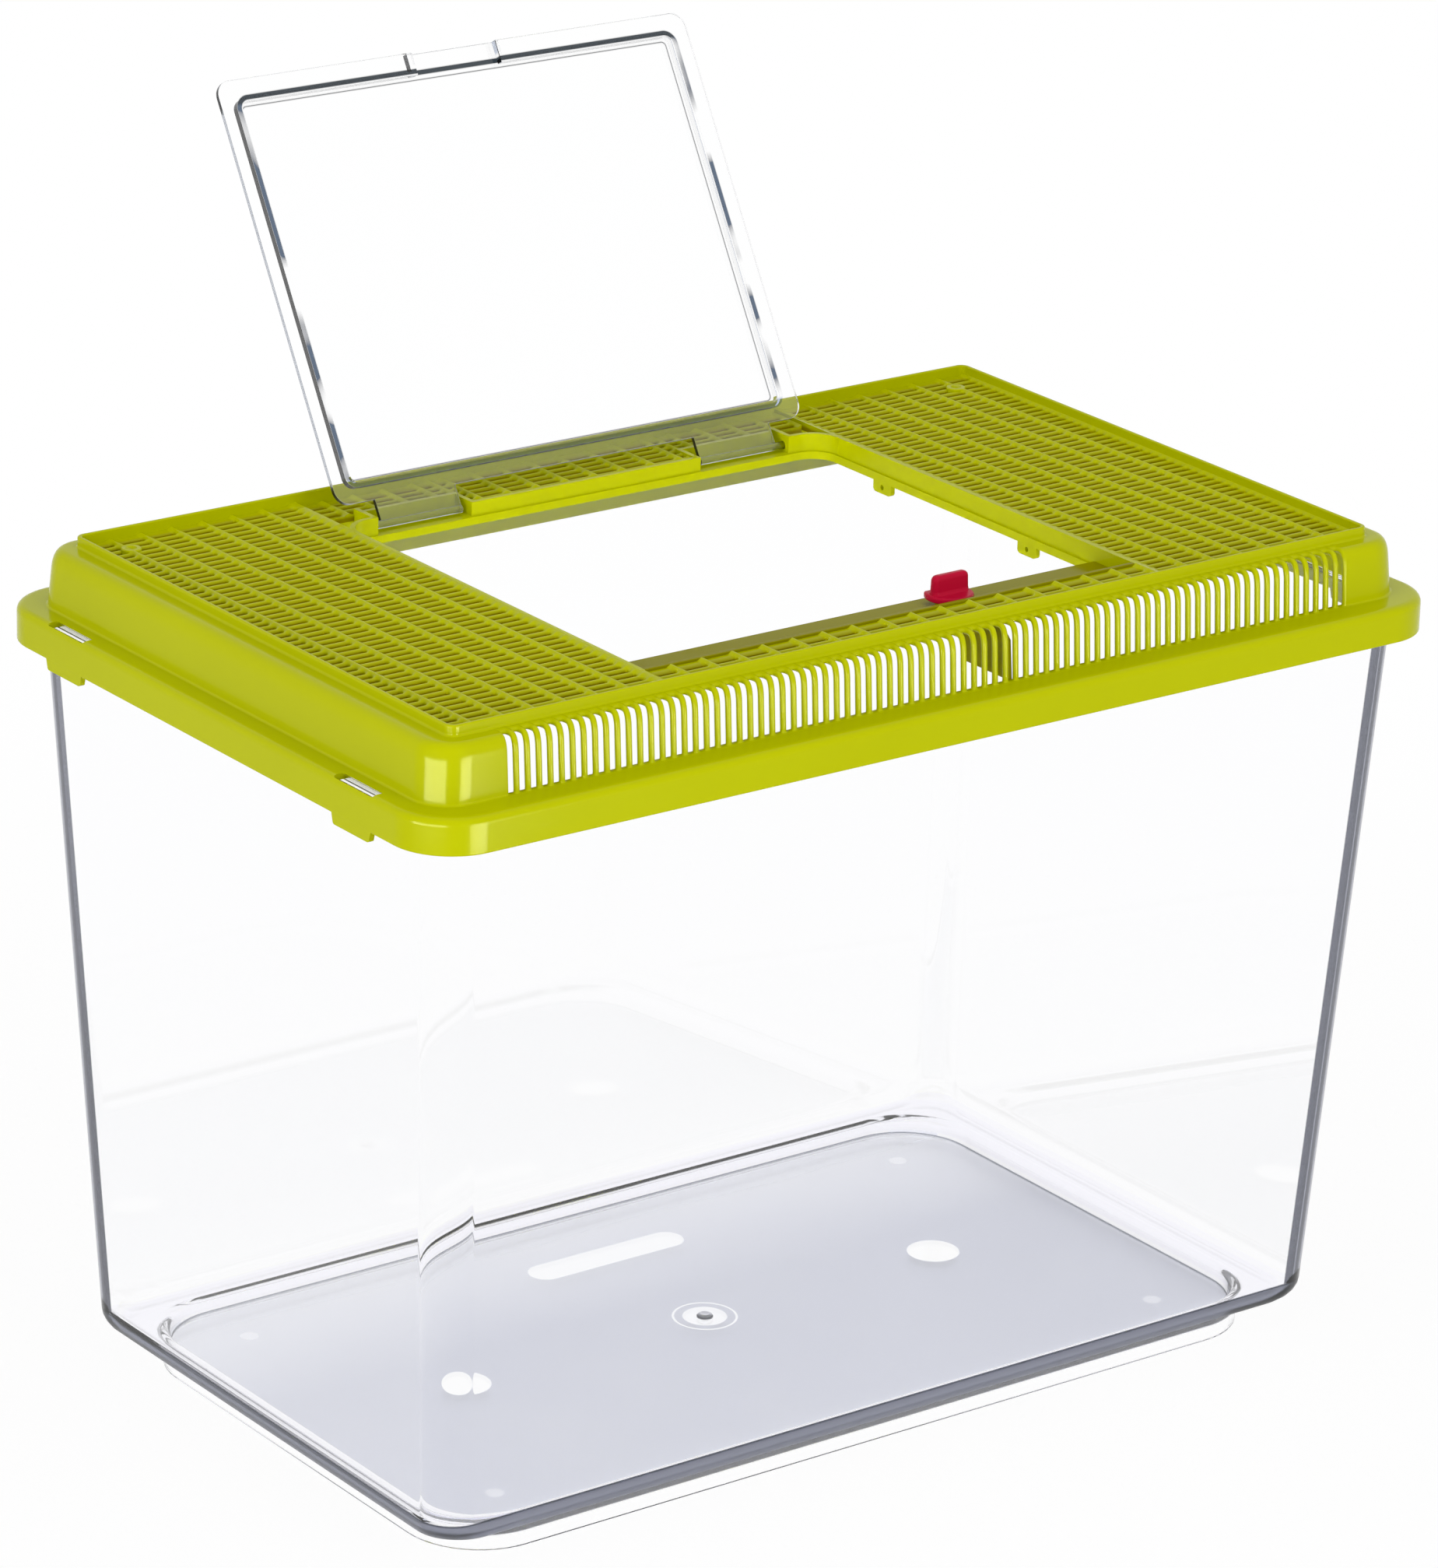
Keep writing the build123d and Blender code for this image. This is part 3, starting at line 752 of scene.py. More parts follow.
@dataclass(frozen=True)
class TankFinish(ClearFinish):
    """Clear tank with a frosted floor, a misty margin and painted dark refraction glints along its corners
    and base.
    """

    shape: TankShape = TankShape()
    polish_share: float = 0.3
    frost_half: Span = (168.6, 97.1)
    frost_z: Band = (6.5, 8.2, 0.2)
    frost_color: Color = (0.74, 0.77, 0.94)
    frost_fade: Span = (20.0, 100.0)
    frost_fade_share: float = 0.4
    frost_roughness: float = 0.4
    spots: tuple[Spot, ...] = clear_spots()
    spot_fade: float = 0.3
    gate_disc: Span = (7.5, 8.0)
    gate_disc_share: float = 0.75
    gate_ring: Band = (10.7, 11.5, 0.15)
    gate_ring_share: float = 0.8
    nub_radius: Span = (3.4, 3.2)
    nub_z: Span = (7.5, 7.7)
    nub_share: float = 0.8
    margin_z: Band = (7.9, 14.2, 0.2)
    margin_color: Color = (0.95, 0.945, 1.0)
    margin_roughness: float = 0.07
    fillet_z: Band = (14.2, 22.0, 1.0)
    fillet_roughness: float = 0.03
    # painted shade: dark refraction band and line along the base, on faces turned down
    base_z: Band = (11.1, 18.6, 0.1)
    painted_base_band_color: Color = (0.06, 0.066, 0.098)
    base_roughness: float = 0.3
    line_z: Band = (18.2, 19.0, 0.2)
    painted_base_line_color: Color = (0.006, 0.0075, 0.014)
    # painted shade: dark refraction line round the floor's step
    step_z: Band = (7.6, 8.1, 0.1)
    painted_step_line_color: Color = (0.08, 0.09, 0.13)
    # painted glints: dark and pale refraction stripes on the corners, by how they face
    corner_z: Band = (18.8, 267.4, 0.3)
    corner_reach: Span = (1.2, 3.0)
    corner_fade: Span = (-0.4, 0.1)
    corner_turn: Span = (0.18, 0.36)
    painted_corner_glints: tuple[Span, ...] = (
        (0.24, 1.0), (0.30, 0.04), (0.475, 0.02), (0.51, 0.14), (0.54, 0.018), (0.68, 0.018),
        (0.76, 0.16), (0.85, 0.08))
    painted_glint_tint: tuple[Span, ...] = ((0.85, 0.15), (0.92, 0.08), (1.35, -0.35))
    skin_depth: Span = (1.1, 0.9)
    facing_down: Span = (0.02, -0.02)

    def frost_mask(self, graph: Graph, x: Socket, y: Socket, z: Socket) -> Socket:
        """Mask of the frosting on the floor, without its clear spots.

        Args:
            graph: Writes into the material.
            x: X of the point.
            y: Y of the point.
            z: Height of the point.

        Returns:
            The mask.
        """
        inside = [graph.math("LESS_THAN", graph.math("ABSOLUTE", along), half * MM)
                  for along, half in zip((x, y), self.frost_half)]
        mask = graph.product(*inside, graph.band(z, self.frost_z))
        for spot in self.spots:
            away = graph.fade(graph.radius(x, y, (spot.x, spot.y), spot.half_length),
                              (spot.radius - self.spot_fade, spot.radius + self.spot_fade))
            kept = graph.math("MULTIPLY_ADD", away, spot.strength, 1.0 - spot.strength)
            mask = graph.product(mask, kept)
        gate = graph.radius(x, y, self.shape.gate)
        disc = graph.fade(gate, self.gate_disc)
        kept = graph.math("MULTIPLY_ADD", disc, self.gate_disc_share, 1.0 - self.gate_disc_share)
        ring = graph.math("MULTIPLY_ADD", graph.band(gate, self.gate_ring), -self.gate_ring_share, 1.0)
        back = graph.fade(y, self.frost_fade)
        faded = graph.math("MULTIPLY_ADD", back, -self.frost_fade_share, 1.0)
        mask = graph.product(mask, kept, faded, ring)
        nub = graph.product(graph.fade(gate, self.nub_radius), graph.fade(z, self.nub_z), self.nub_share)
        return graph.math("MAXIMUM", mask, nub)

    def wall_masks(self, graph: Graph, x: Socket, y: Socket, z: Socket) -> tuple[Socket, Socket]:
        """Masks of the walls' outer skin and of the rounded corners.

        Args:
            graph: Writes into the material.
            x: X of the point.
            y: Y of the point.
            z: Height of the point.

        Returns:
            The mask of the skin and the mask of the corners.
        """
        shape = self.shape
        lean = graph.math("MULTIPLY", graph.math("SUBTRACT", shape.rim_z * MM, z), shape.taper)
        beyond: list[Socket] = []
        for along, half in zip((x, y), shape.rim_half):
            core = graph.math("SUBTRACT", (half - shape.corner) * MM, lean)
            beyond.append(graph.math("SUBTRACT", graph.math("ABSOLUTE", along), core))
        out = graph.length(*(graph.math("MAXIMUM", value, 0.0) for value in beyond))
        deep, shallow = self.skin_depth
        outer = graph.fade(out, (shape.corner - deep, shape.corner - shallow))
        low, high = self.corner_fade
        arc = graph.product(*(graph.fade(value, (low - reach, high - reach))
                              for value, reach in zip(beyond, self.corner_reach)))
        return outer, arc

    def painted_corner_stripes(self, graph: Graph) -> Socket:
        """Painted dark and pale refraction stripes of a clear corner, by how it faces."""
        facing = graph.node("ShaderNodeLayerWeight", {"Blend": 0.5}).outputs["Facing"]
        stops = [(at, tuple(level * (dark + slope * level) for dark, slope in self.painted_glint_tint))
                 for at, level in self.painted_corner_glints]
        return graph.ramp(facing, stops)

    def turned_away(self, graph: Graph, x: Socket, y: Socket) -> Socket:
        """Mask of the corners whose outward diagonal is seen from the side, which the painted glints are
        kept to.
        """
        diagonal = graph.node("ShaderNodeCombineXYZ", {0: graph.math("SIGN", x), 1: graph.math("SIGN", y)})
        unit = graph.node("ShaderNodeVectorMath", {0: diagonal.outputs[0]})
        unit.operation = "NORMALIZE"
        layer = graph.node("ShaderNodeLayerWeight", {"Blend": 0.5, "Normal": unit.outputs[0]})
        return graph.rise(layer.outputs["Facing"], *self.corner_turn)

    def marks(self, graph: Graph, tone: Socket, polish: Socket) -> tuple[Socket, Socket]:
        """Colour and roughness over the floor and margin, with painted dark refraction bands at the base
        and the floor's step and painted glints on the corners.

        Args:
            graph: Writes into the material.
            tone: Drift of the moulding's tone about 1.
            polish: Roughness of the plain moulding.

        Returns:
            The colour and the roughness.
        """
        x, y, z = graph.parts(graph.coordinate("Object"))
        _, _, upward = graph.parts(graph.coordinate("Normal"))
        outer, arc = self.wall_masks(graph, x, y, z)
        inner, entering = graph.rest(outer), graph.entering()
        frost = self.frost_mask(graph, x, y, z)
        margin = graph.product(inner, graph.band(z, self.margin_z))
        fillet = graph.product(inner, graph.band(z, self.fillet_z))
        # painted shade: dark refraction line at the floor's step
        step = graph.product(inner, entering, graph.band(z, self.step_z))
        # painted shade: dark refraction band and line along the tank's base
        under = graph.product(graph.rise(upward, *self.facing_down), entering)
        base = graph.product(under, graph.band(z, self.base_z))
        line = graph.product(under, graph.band(z, self.line_z))
        # painted glints on the corners seen from the side
        wall = graph.product(outer, entering, arc, graph.band(z, self.corner_z),
                             self.turned_away(graph, x, y))
        color = graph.blend(graph.product(frost, tone), WHITE, self.frost_color)
        for mask, tint in ((margin, self.margin_color), (base, self.painted_base_band_color), (line, self.painted_base_line_color),
                           (step, self.painted_step_line_color), (wall, self.painted_corner_stripes(graph))):
            color = graph.blend(mask, color, tint)
        roughness = graph.math("MULTIPLY", polish, self.polish_share)
        for mask, amount in ((frost, self.frost_roughness), (margin, self.margin_roughness),
                             (fillet, self.fillet_roughness), (base, self.base_roughness)):
            roughness = graph.math("MULTIPLY_ADD", mask, amount, roughness)
        return color, roughness


@dataclass(frozen=True)
class HatchFinish(ClearFinish):
    """Clear hatch with painted slate and pale refraction glints along its panel's rim and a painted pale
    tint on its edges.
    """

    hinge: Span = (84.0, 288.0)
    open_angle: float = 121.0
    panel_half: float = 91.0
    panel_y: Span = (14.0, 152.3)
    panel_corner: float = 4.5
    polish_share: float = 0.15
    # painted refraction glints along the panel's rim: a slate bar with painted white streaks, and a thin
    # dark line inside it
    bar: Band = (-1.2, 0.7, 0.2)
    painted_inner_line: Band = (-3.0, -2.55, 0.2)
    painted_slate_color: Color = (0.0012, 0.0022, 0.0034)
    painted_side_color: Color = (0.009, 0.018, 0.04)
    painted_hinge_color: Color = (0.22, 0.30, 0.50)
    end_reach: Span = (-3.0, -2.0)
    painted_streak_scale: float = 45.0
    painted_streak_share: Span = (0.5, 0.62)
    # painted pale refraction tint on the hatch's upright edges
    painted_edge_tint: Color = (0.55, 0.6, 0.7)
    edge_roughness: float = 0.25
    edge_from: Span = (1.5, 2.5)
    upright: Span = (0.93, 0.7)

    def laid_flat(self, graph: Graph, kind: str, centre: Point) -> tuple[Socket, Socket, Socket]:
        """X, Y and Z of the point or the normal with the hatch turned shut about a centre."""
        turn = graph.node("ShaderNodeVectorRotate", {
            "Vector": graph.coordinate(kind), "Center": centre, "Axis": (1.0, 0.0, 0.0),
            "Angle": math.radians(self.open_angle)})
        return graph.parts(turn.outputs[0])

    def painted_rim_color(self, graph: Graph, out_near: Socket, out_far: Socket) -> Socket:
        """Painted glints: slate at the free end, pale blue at the hinge and streaks of painted slate and
        painted white highlight along the sides.
        """
        painted_streaks = graph.noise(graph.coordinate("Object"), self.painted_streak_scale, 1.0)
        color = graph.blend(graph.rise(painted_streaks, *self.painted_streak_share), self.painted_side_color, WHITE)
        for out, tint in ((out_far, self.painted_slate_color), (out_near, self.painted_hinge_color)):
            color = graph.blend(graph.fade(out, self.end_reach), color, tint)
        return color

    def marks(self, graph: Graph, tone: Socket, polish: Socket) -> tuple[Socket, Socket]:
        """Colour and roughness, with painted refraction glints on the panel's rim and a painted pale tint
        on the hatch's edges.

        Args:
            graph: Writes into the material.
            tone: Drift of the moulding's tone, which the hatch leaves out.
            polish: Roughness of the plain moulding.

        Returns:
            The colour and the roughness.
        """
        x, y, _ = self.laid_flat(graph, "Object", (0.0, self.hinge[0] * MM, self.hinge[1] * MM))
        _, _, upward = self.laid_flat(graph, "Normal", (0.0, 0.0, 0.0))
        back = graph.math("SUBTRACT", self.hinge[0] * MM, y)
        out_side = graph.math("SUBTRACT", graph.math("ABSOLUTE", x), self.panel_half * MM)
        out_near = graph.math("SUBTRACT", self.panel_y[0] * MM, back)
        out_far = graph.math("SUBTRACT", back, self.panel_y[1] * MM)
        past = [graph.math("MAXIMUM", graph.math("ADD", out, self.panel_corner * MM), 0.0)
                for out in (out_side, graph.math("MAXIMUM", out_near, out_far))]
        beyond = graph.math("SUBTRACT", graph.length(*past), self.panel_corner * MM)
        entering = graph.entering()
        # painted refraction glints: the rim's bar and a thin dark line inside it
        bar, line = (graph.product(entering, graph.band(beyond, band))
                     for band in (self.bar, self.painted_inner_line))
        # painted pale refraction tint along the hatch's upright edges
        edge = graph.product(graph.rise(graph.math("ABSOLUTE", upward), *self.upright),
                             graph.fade(beyond, self.edge_from))
        color = graph.blend(bar, WHITE, self.painted_rim_color(graph, out_near, out_far))
        color = graph.blend(line, color, self.painted_slate_color)
        color = graph.blend(edge, color, self.painted_edge_tint)
        roughness = graph.math("MULTIPLY", polish, self.polish_share)
        return color, graph.math("MULTIPLY_ADD", edge, self.edge_roughness, roughness)


# --- tank --------------------------------------------------------------------------------------
@dataclass
class Tank:
    """Clear tank: foot ring, raised margin, tapered walls and rim."""

    shape: TankShape = TankShape()
    corner_steps: int = 12
    skin: float = 0.02
    base_round: float = 7.4
    bowl_round: float = 8.5
    flange: float = 4.1
    flange_corner: float = 17.1
    flange_z: Span = (267.6, 269.55)
    foot_outer: Plan = (172.45, 98.95, 28.0)
    foot_inner: Plan = (170.3, 96.8, 25.8)
    under_z: float = 5.0
    under_core: Plan = (160.0, 88.0, 18.0)
    step_top: Plan = (169.4, 97.9, 27.0)
    step_foot: Plan = (168.4, 96.9, 26.0)
    floor_core: Plan = (158.0, 86.0, 16.0)
    nub_profile: tuple[Span, ...] = ((0.0, -0.3), (2.9, -0.3), (2.9, 0.25), (2.5, 0.75), (1.7, 1.1),
                                     (0.8, 0.95), (0.0, 0.9))

    def wall_section(self, z: float, inset: float, soften: float) -> Section:
        """Section of the tapered wall at one height."""
        shape = self.shape
        lean = shape.taper * (shape.rim_z - z) + inset
        return Section(shape.rim_half[0] - lean, shape.rim_half[1] - lean, shape.corner - inset, z, soften)

    def profile(self) -> list[Section]:
        """Profile of the tank, from under the floor, up the outside and down to the floor."""
        shape = self.shape
        foot_z, (lip_under, lip_top) = shape.foot_z + self.skin, self.flange_z
        flange_half = (shape.rim_half[0] + self.flange, shape.rim_half[1] + self.flange)
        keys = [
            Section(*self.under_core, self.under_z),
            Section(*self.foot_inner, self.under_z, 1.0),
            Section(*self.foot_inner, self.skin, 0.7),
            Section(*self.foot_outer, self.skin, 0.7),
            Section(*self.foot_outer, foot_z, 1.2),
            self.wall_section(foot_z, 0.05, self.base_round),
            self.wall_section(lip_under, 0.05, 0.8),
            Section(*flange_half, self.flange_corner, lip_under + 0.05, 0.4),
            Section(*flange_half, self.flange_corner, lip_top, 0.4),
            self.wall_section(lip_top, shape.wall, 0.5),
            self.wall_section(shape.margin_z, shape.wall, self.bowl_round),
            Section(*self.step_top, shape.margin_z, 2.4),
            Section(*self.step_foot, shape.floor_z, 0.5),
            Section(*self.floor_core, shape.floor_z),
        ]
        return softened_profile(keys, closed=False)

    def build(self, finish: bpy.types.Material) -> None:
        """Makes the tank as one closed skin, and the nub that the moulding gate leaves on its floor.

        Args:
            finish: Material of both.
        """
        shell = Shape()
        shell.loft([section.ring(self.corner_steps) for section in self.profile()])
        piece = Piece("tank_shell", Body.TANK, Slot.CLEAR_TANK, finish, ("tank",))
        piece.place(shell.mesh("tank_shell"))
        nub = Shape()
        floor = self.shape.floor_z
        nub.turned(self.shape.gate, [(radius, floor + rise) for radius, rise in self.nub_profile])
        Piece("tank_gate", Body.TANK, Slot.CLEAR_TANK, finish).place(nub.mesh("tank_gate"))


# --- lid ---------------------------------------------------------------------------------------
@dataclass(frozen=True)
class LidShape:
    """Sizes of the lid's dome that its rim and its louvre share, in millimetres."""

    ledge_z: float = 271.8
    dome_z: float = 291.3
    dome_foot: Span = (197.7, 119.0)
    dome_top: Span = (196.3, 117.6)
    dome_round: float = 6.3
    lip_half: Span = (187.0, 110.5)


def drawn_in(half: Span, by: float) -> Span:
    """Half length and half depth less a margin."""
    return half[0] - by, half[1] - by


@dataclass
class LidRim:
    """Skirt, ledge, dome and lip of the lid."""

    shape: LidShape = LidShape()
    corner_steps: int = 14
    skin: float = 0.02
    skirt_half: Span = (206.5, 130.0)
    skirt_z: float = 259.5
    skirt_wall: float = 2.0
    skirt_corners: Span = (21.0, 19.0)
    under_ledge_z: float = 269.65
    dome_corners: Span = (13.0, 11.0)
    dome_wall: Span = (2.0, 1.9)
    lip_z: float = 295.0
    lip_wall: float = 1.5
    lip_corners: Span = (3.4, 2.2)
    roof: float = 2.0
    window_half: float = 171.2
    window_y: Span = (-124.0, -110.75)
    window_margins: Span = (0.15, 0.6)
    clip_y: float = 85.2
    clip_half: float = 11.0
    clip_thickness: float = 1.9
    clip_outline: tuple[Span, ...] = ((0.0, 259.9), (0.9, 256.4), (1.6, 256.0))
    hook: tuple[Span, ...] = ((1.9, 262.0), (3.0, 264.6), (1.9, 264.6))
    clip_slot_outer: float = 205.8
    clip_slot_corner: float = 0.9
    clip_slot_inner: tuple[Span, ...] = ((199.6, 268.6), (199.6, 269.7), (201.8, 271.5), (201.8, 274.0))

    def profile(self) -> list[Section]:
        """Closed profile of the rim, up the outside and down the inside."""
        shape = self.shape
        under_z = shape.dome_z - self.roof
        skirt, dome, lip = self.skirt_corners, self.dome_corners, self.lip_corners
        skirt_inside = drawn_in(self.skirt_half, self.skirt_wall)
        lip_inside = drawn_in(shape.lip_half, self.lip_wall)
        keys = [
            Section(*self.skirt_half, skirt[0], self.skirt_z, 0.5),
            Section(*self.skirt_half, skirt[0], shape.ledge_z, 2.8),
            Section(*shape.dome_foot, dome[0], shape.ledge_z, 0.8),
            Section(*shape.dome_top, dome[0], shape.dome_z, shape.dome_round),
            Section(*shape.lip_half, lip[0], shape.dome_z, 1.0),
            Section(*shape.lip_half, lip[0], self.lip_z, 0.7),
            Section(*lip_inside, lip[1], self.lip_z, 0.6),
            Section(*lip_inside, lip[1], under_z, 0.2),
            Section(*drawn_in(shape.dome_top, self.dome_wall[1]), dome[1], under_z, 4.0),
            Section(*drawn_in(shape.dome_foot, self.dome_wall[0]), dome[1], self.under_ledge_z, 0.3),
            Section(*skirt_inside, skirt[1], self.under_ledge_z, 1.0),
            Section(*skirt_inside, skirt[1], self.skirt_z, 0.5),
        ]
        return softened_profile(keys, closed=True)

    def clip_places(self) -> Iterable[tuple[int, float, float]]:
        """End of the lid as 1 or -1, and lowest and highest Y, of each snap tab."""
        for end in (-1, 1):
            for side in (-1, 1):
                yield end, side * self.clip_y - self.clip_half, side * self.clip_y + self.clip_half

    def clip_tabs(self) -> Shape:
        """Snap tabs that hang from the skirt, each with its hook."""
        tabs = Shape()
        outer = self.skirt_half[0] - self.skin
        for end, low, high in self.clip_places():
            outline = [(low + step, z) for step, z in self.clip_outline]
            outline += [(high - step, z) for step, z in reversed(self.clip_outline)]
            tabs.prism(outline, outer - self.clip_thickness, outer, lambda y, z, x: (end * x, y, z))
            hook = [(outer - depth, z) for depth, z in self.hook]
            tabs.prism(hook, low, high, lambda x, z, y: (end * x, y, z))
        return tabs

    def clip_slots(self) -> Shape:
        """Cutter for the slots over the snap tabs, which widen inward below the ledge."""
        slots = Shape()
        for end, low, high in self.clip_places():
            rings: list[list[Point]] = []
            for inner, z in self.clip_slot_inner:
                edges = sorted((end * inner, end * self.clip_slot_outer))
                outline = block_outline(*edges, low, high, self.clip_slot_corner)
                rings.append([(x, y, z) for x, y in outline])
            slots.loft(rings)
        return slots

    def build(self, finish: bpy.types.Material) -> None:
        """Makes the rim, cuts its window and slots and hangs its snap tabs.

        Args:
            finish: Material of all of it.
        """
        rim = Shape()
        rim.loft([section.ring(self.corner_steps) for section in self.profile()], closed=True)
        above_ledge, above_dome = self.window_margins
        window = Shape()
        window.prism(block_outline(-self.window_half, self.window_half, *self.window_y),
                     self.shape.ledge_z + above_ledge, self.shape.dome_z + above_dome, flat_place)
        mesh = cut(cut(rim.mesh("lid_rim_skin"), window), self.clip_slots())
        Piece("lid_rim_skin", Body.LID, Slot.GREEN, finish, ("lid_rim",)).place(mesh)
        Piece("lid_clip_tabs", Body.LID, Slot.GREEN, finish).place(self.clip_tabs().mesh("lid_clip_tabs"))


@dataclass
class FrontLouvre:
    """Round bars that run up the dome's front wall and over its shoulder."""

    shape: LidShape = LidShape()
    path_steps: int = 8
    slots: int = 80
    pitch: float = 4.28
    slot_width: float = 2.32
    thickness: float = 2.0
    rounding: float = 0.98
    under_rounding: float = 0.9
    slot_foot: float = 0.2
    slot_head: float = 2.2
    squareness: float = 0.5

    def path(self) -> list[Span]:
        """Outer line of the louvre in Y and Z, from the ledge to the foot of the lip."""
        shape = self.shape
        corners = ((shape.dome_foot[1], shape.ledge_z + 0.05, 0.0),
                   (shape.dome_top[1], shape.dome_z, shape.dome_round),
                   (shape.lip_half[1] + 0.1, shape.dome_z, 0.0))
        keys = [Section(y, y, 1.0, z, soften) for y, z, soften in corners]
        return [(-section.half_x, section.z) for section in softened_profile(keys, False, self.path_steps)]

    def build(self, finish: bpy.types.Material) -> None:
        """Bends a pierced sheet along the path.

        Args:
            finish: Material of the bars.
        """
        path = self.path()
        lengths = [0.0]
        for (y0, z0), (y1, z1) in zip(path, path[1:]):
            lengths.append(lengths[-1] + math.hypot(y1 - y0, z1 - z0))

        def tangent(number: int) -> Vector:
            """Mean direction of the path at one of its points."""
            low, high = path[max(number - 1, 0)], path[min(number + 1, len(path) - 1)]
            return Vector((high[0] - low[0], high[1] - low[1])).normalized()

        def place(along: float, x: float, height: float) -> Point:
            """Point on the bent sheet, height outward from its outer line."""
            along = min(max(along, 0.0), lengths[-1])
            index = max(i for i in range(len(lengths) - 1) if lengths[i] <= along + 1e-9)
            share = (along - lengths[index]) / (lengths[index + 1] - lengths[index])
            (y0, z0), (y1, z1) = path[index], path[index + 1]
            way = tangent(index).lerp(tangent(index + 1), share).normalized()
            return x, y0 + (y1 - y0) * share - way[1] * height, z0 + (z1 - z0) * share + way[0] * height

        sheet = PiercedSheet(self.thickness, self.rounding, lambda cell, a: 0.0, place,
                             tuple(lengths[1:-1]), self.under_rounding)
        bars = Shape()
        half_slot, half_pitch = self.slot_width / 2, self.pitch / 2
        for index in range(self.slots):
            middle = (index - (self.slots - 1) / 2) * self.pitch
            sheet.add_cell(bars, PiercedCell(
                0.0, lengths[-1], middle - half_pitch, middle + half_pitch, self.slot_foot,
                lengths[-1] - self.slot_head, middle - half_slot, middle + half_slot, self.squareness))
        piece = Piece("louvre_bars", Body.LID, Slot.GREEN, finish, ("front_louvre",))
        piece.place(bars.mesh("louvre_bars"), crease=SOFT_CREASE)


@dataclass(frozen=True)
class Panel:
    """One rectangular grille panel: its bounds, how far it is lowered and its end borders."""

    name: str
    x: Span
    y: Span
    step: float = 0.0
    replaces: tuple[str, ...] = ()
    edge: Span = (1.0, 1.0)


@dataclass
class Grille:
    """Ribbed grille: close slats end to end, with raised ribs front to back."""

    rib_z: float = 292.0
    under_z: float = 289.0
    rounding: float = 0.95
    slat_drop: float = 0.9
    slat_ease: Span = (0.9, 1.9)
    rib_pitch: float = 12.0
    rib_width: float = 2.1
    rib_count: int = 15
    nearest_rib: float = 3.0
    slat_pitch: float = 4.28
    slot_width: float = 1.9
    row_margin: float = 0.3
    least_row: float = 0.28
    outer_x: float = 185.5
    outer_y: float = 109.0
    opening_x: float = 100.6
    side_edge: float = 2.9
    front_y: float = -91.3
    rear_y: Span = (92.4, 81.6)
    rear_half: float = 47.4
    rear_step: float = 1.2
    pad: Span = (173.0, 97.0)
    pad_profile: tuple[Span, ...] = ((0.0, 289.4), (3.5, 289.4), (3.5, 291.6), (3.2, 291.95), (2.0, 292.0),
                                     (1.7, 291.8), (1.4, 291.3), (0.0, 291.2))

    def crest(self, cell: PiercedCell, a: float) -> float:
        """Height of the sheet's crest: slats dip below the ribs between the slot's ends."""
        inside = min(a - cell.slot_low, cell.slot_high - a)
        return -self.slat_drop * smooth_step((inside + self.slat_ease[0]) / self.slat_ease[1])

    def columns(self, bounds: Span) -> list[float]:
        """Rib middles between two borders, with the borders."""
        ribs = [sign * self.rib_pitch * (index + 0.5)
                for sign in (-1, 1) for index in range(self.rib_count)]
        low, high = bounds[0] + self.nearest_rib, bounds[1] - self.nearest_rib
        return [bounds[0]] + sorted(x for x in ribs if low < x < high) + [bounds[1]]

    def rows(self, bounds: Span) -> list[float]:
        """Slot middles between the front and the back of a panel."""
        first = math.ceil((bounds[0] + self.row_margin) / self.slat_pitch - self.least_row)
        last = math.floor((bounds[1] - self.row_margin) / self.slat_pitch + self.least_row)
        return [(index + 0.5) * self.slat_pitch for index in range(first, last)]

    def add_panel(self, panel: Panel, finish: bpy.types.Material) -> None:
        """Makes one panel.

        Args:
            panel: Its bounds and name.
            finish: Its material.
        """
        top = self.rib_z - panel.step
        sheet = PiercedSheet(self.rib_z - self.under_z, self.rounding, self.crest,
                             lambda x, y, height: (x, y, top + height))
        columns, rows = self.columns(panel.x), self.rows(panel.y)
        slots = Shape()
        half_rib, half_slot, half_slat = self.rib_width / 2, self.slot_width / 2, self.slat_pitch / 2
        for x_low, x_high in zip(columns, columns[1:]):
            slot_low = x_low + (panel.edge[0] if x_low == panel.x[0] else half_rib)
            slot_high = x_high - (panel.edge[1] if x_high == panel.x[1] else half_rib)
            for row in rows:
                low = panel.y[0] if row == rows[0] else row - half_slat
                high = panel.y[1] if row == rows[-1] else row + half_slat
                sheet.add_cell(slots, PiercedCell(x_low, x_high, low, high, slot_low, slot_high,
                                                  row - half_slot, row + half_slot))
        piece = Piece(panel.name, Body.LID, Slot.GREEN, finish, panel.replaces)
        piece.place(slots.mesh(panel.name), crease=SOFT_CREASE)

    def panels(self) -> tuple[list[Panel], list[Panel]]:
        """The level panels and the lowered rear ones."""
        outer, opening, depth = self.outer_x, self.opening_x, (-self.outer_y, self.outer_y)
        (short, long), half = self.rear_y, self.rear_half

        def nodes(side: str) -> tuple[str, str]:
            """The CAD nodes that a panel stands for."""
            return f"grille_{side}_ribs", f"grille_{side}_slats"

        level = [
            Panel("grille_left", (-outer, -opening), depth, 0.0, nodes("left"), (1.0, self.side_edge)),
            Panel("grille_right", (opening, outer), depth, 0.0, nodes("right"), (self.side_edge, 1.0)),
            Panel("grille_front", (-opening, opening), (-self.outer_y, self.front_y), 0.0, nodes("front")),
        ]
        lowered = [
            Panel("grille_rear", (-half, half), (long, self.outer_y), self.rear_step, nodes("rear")),
            Panel("grille_rear_left", (-opening, -half), (short, self.outer_y), self.rear_step),
            Panel("grille_rear_right", (half, opening), (short, self.outer_y), self.rear_step),
        ]
        return level, lowered

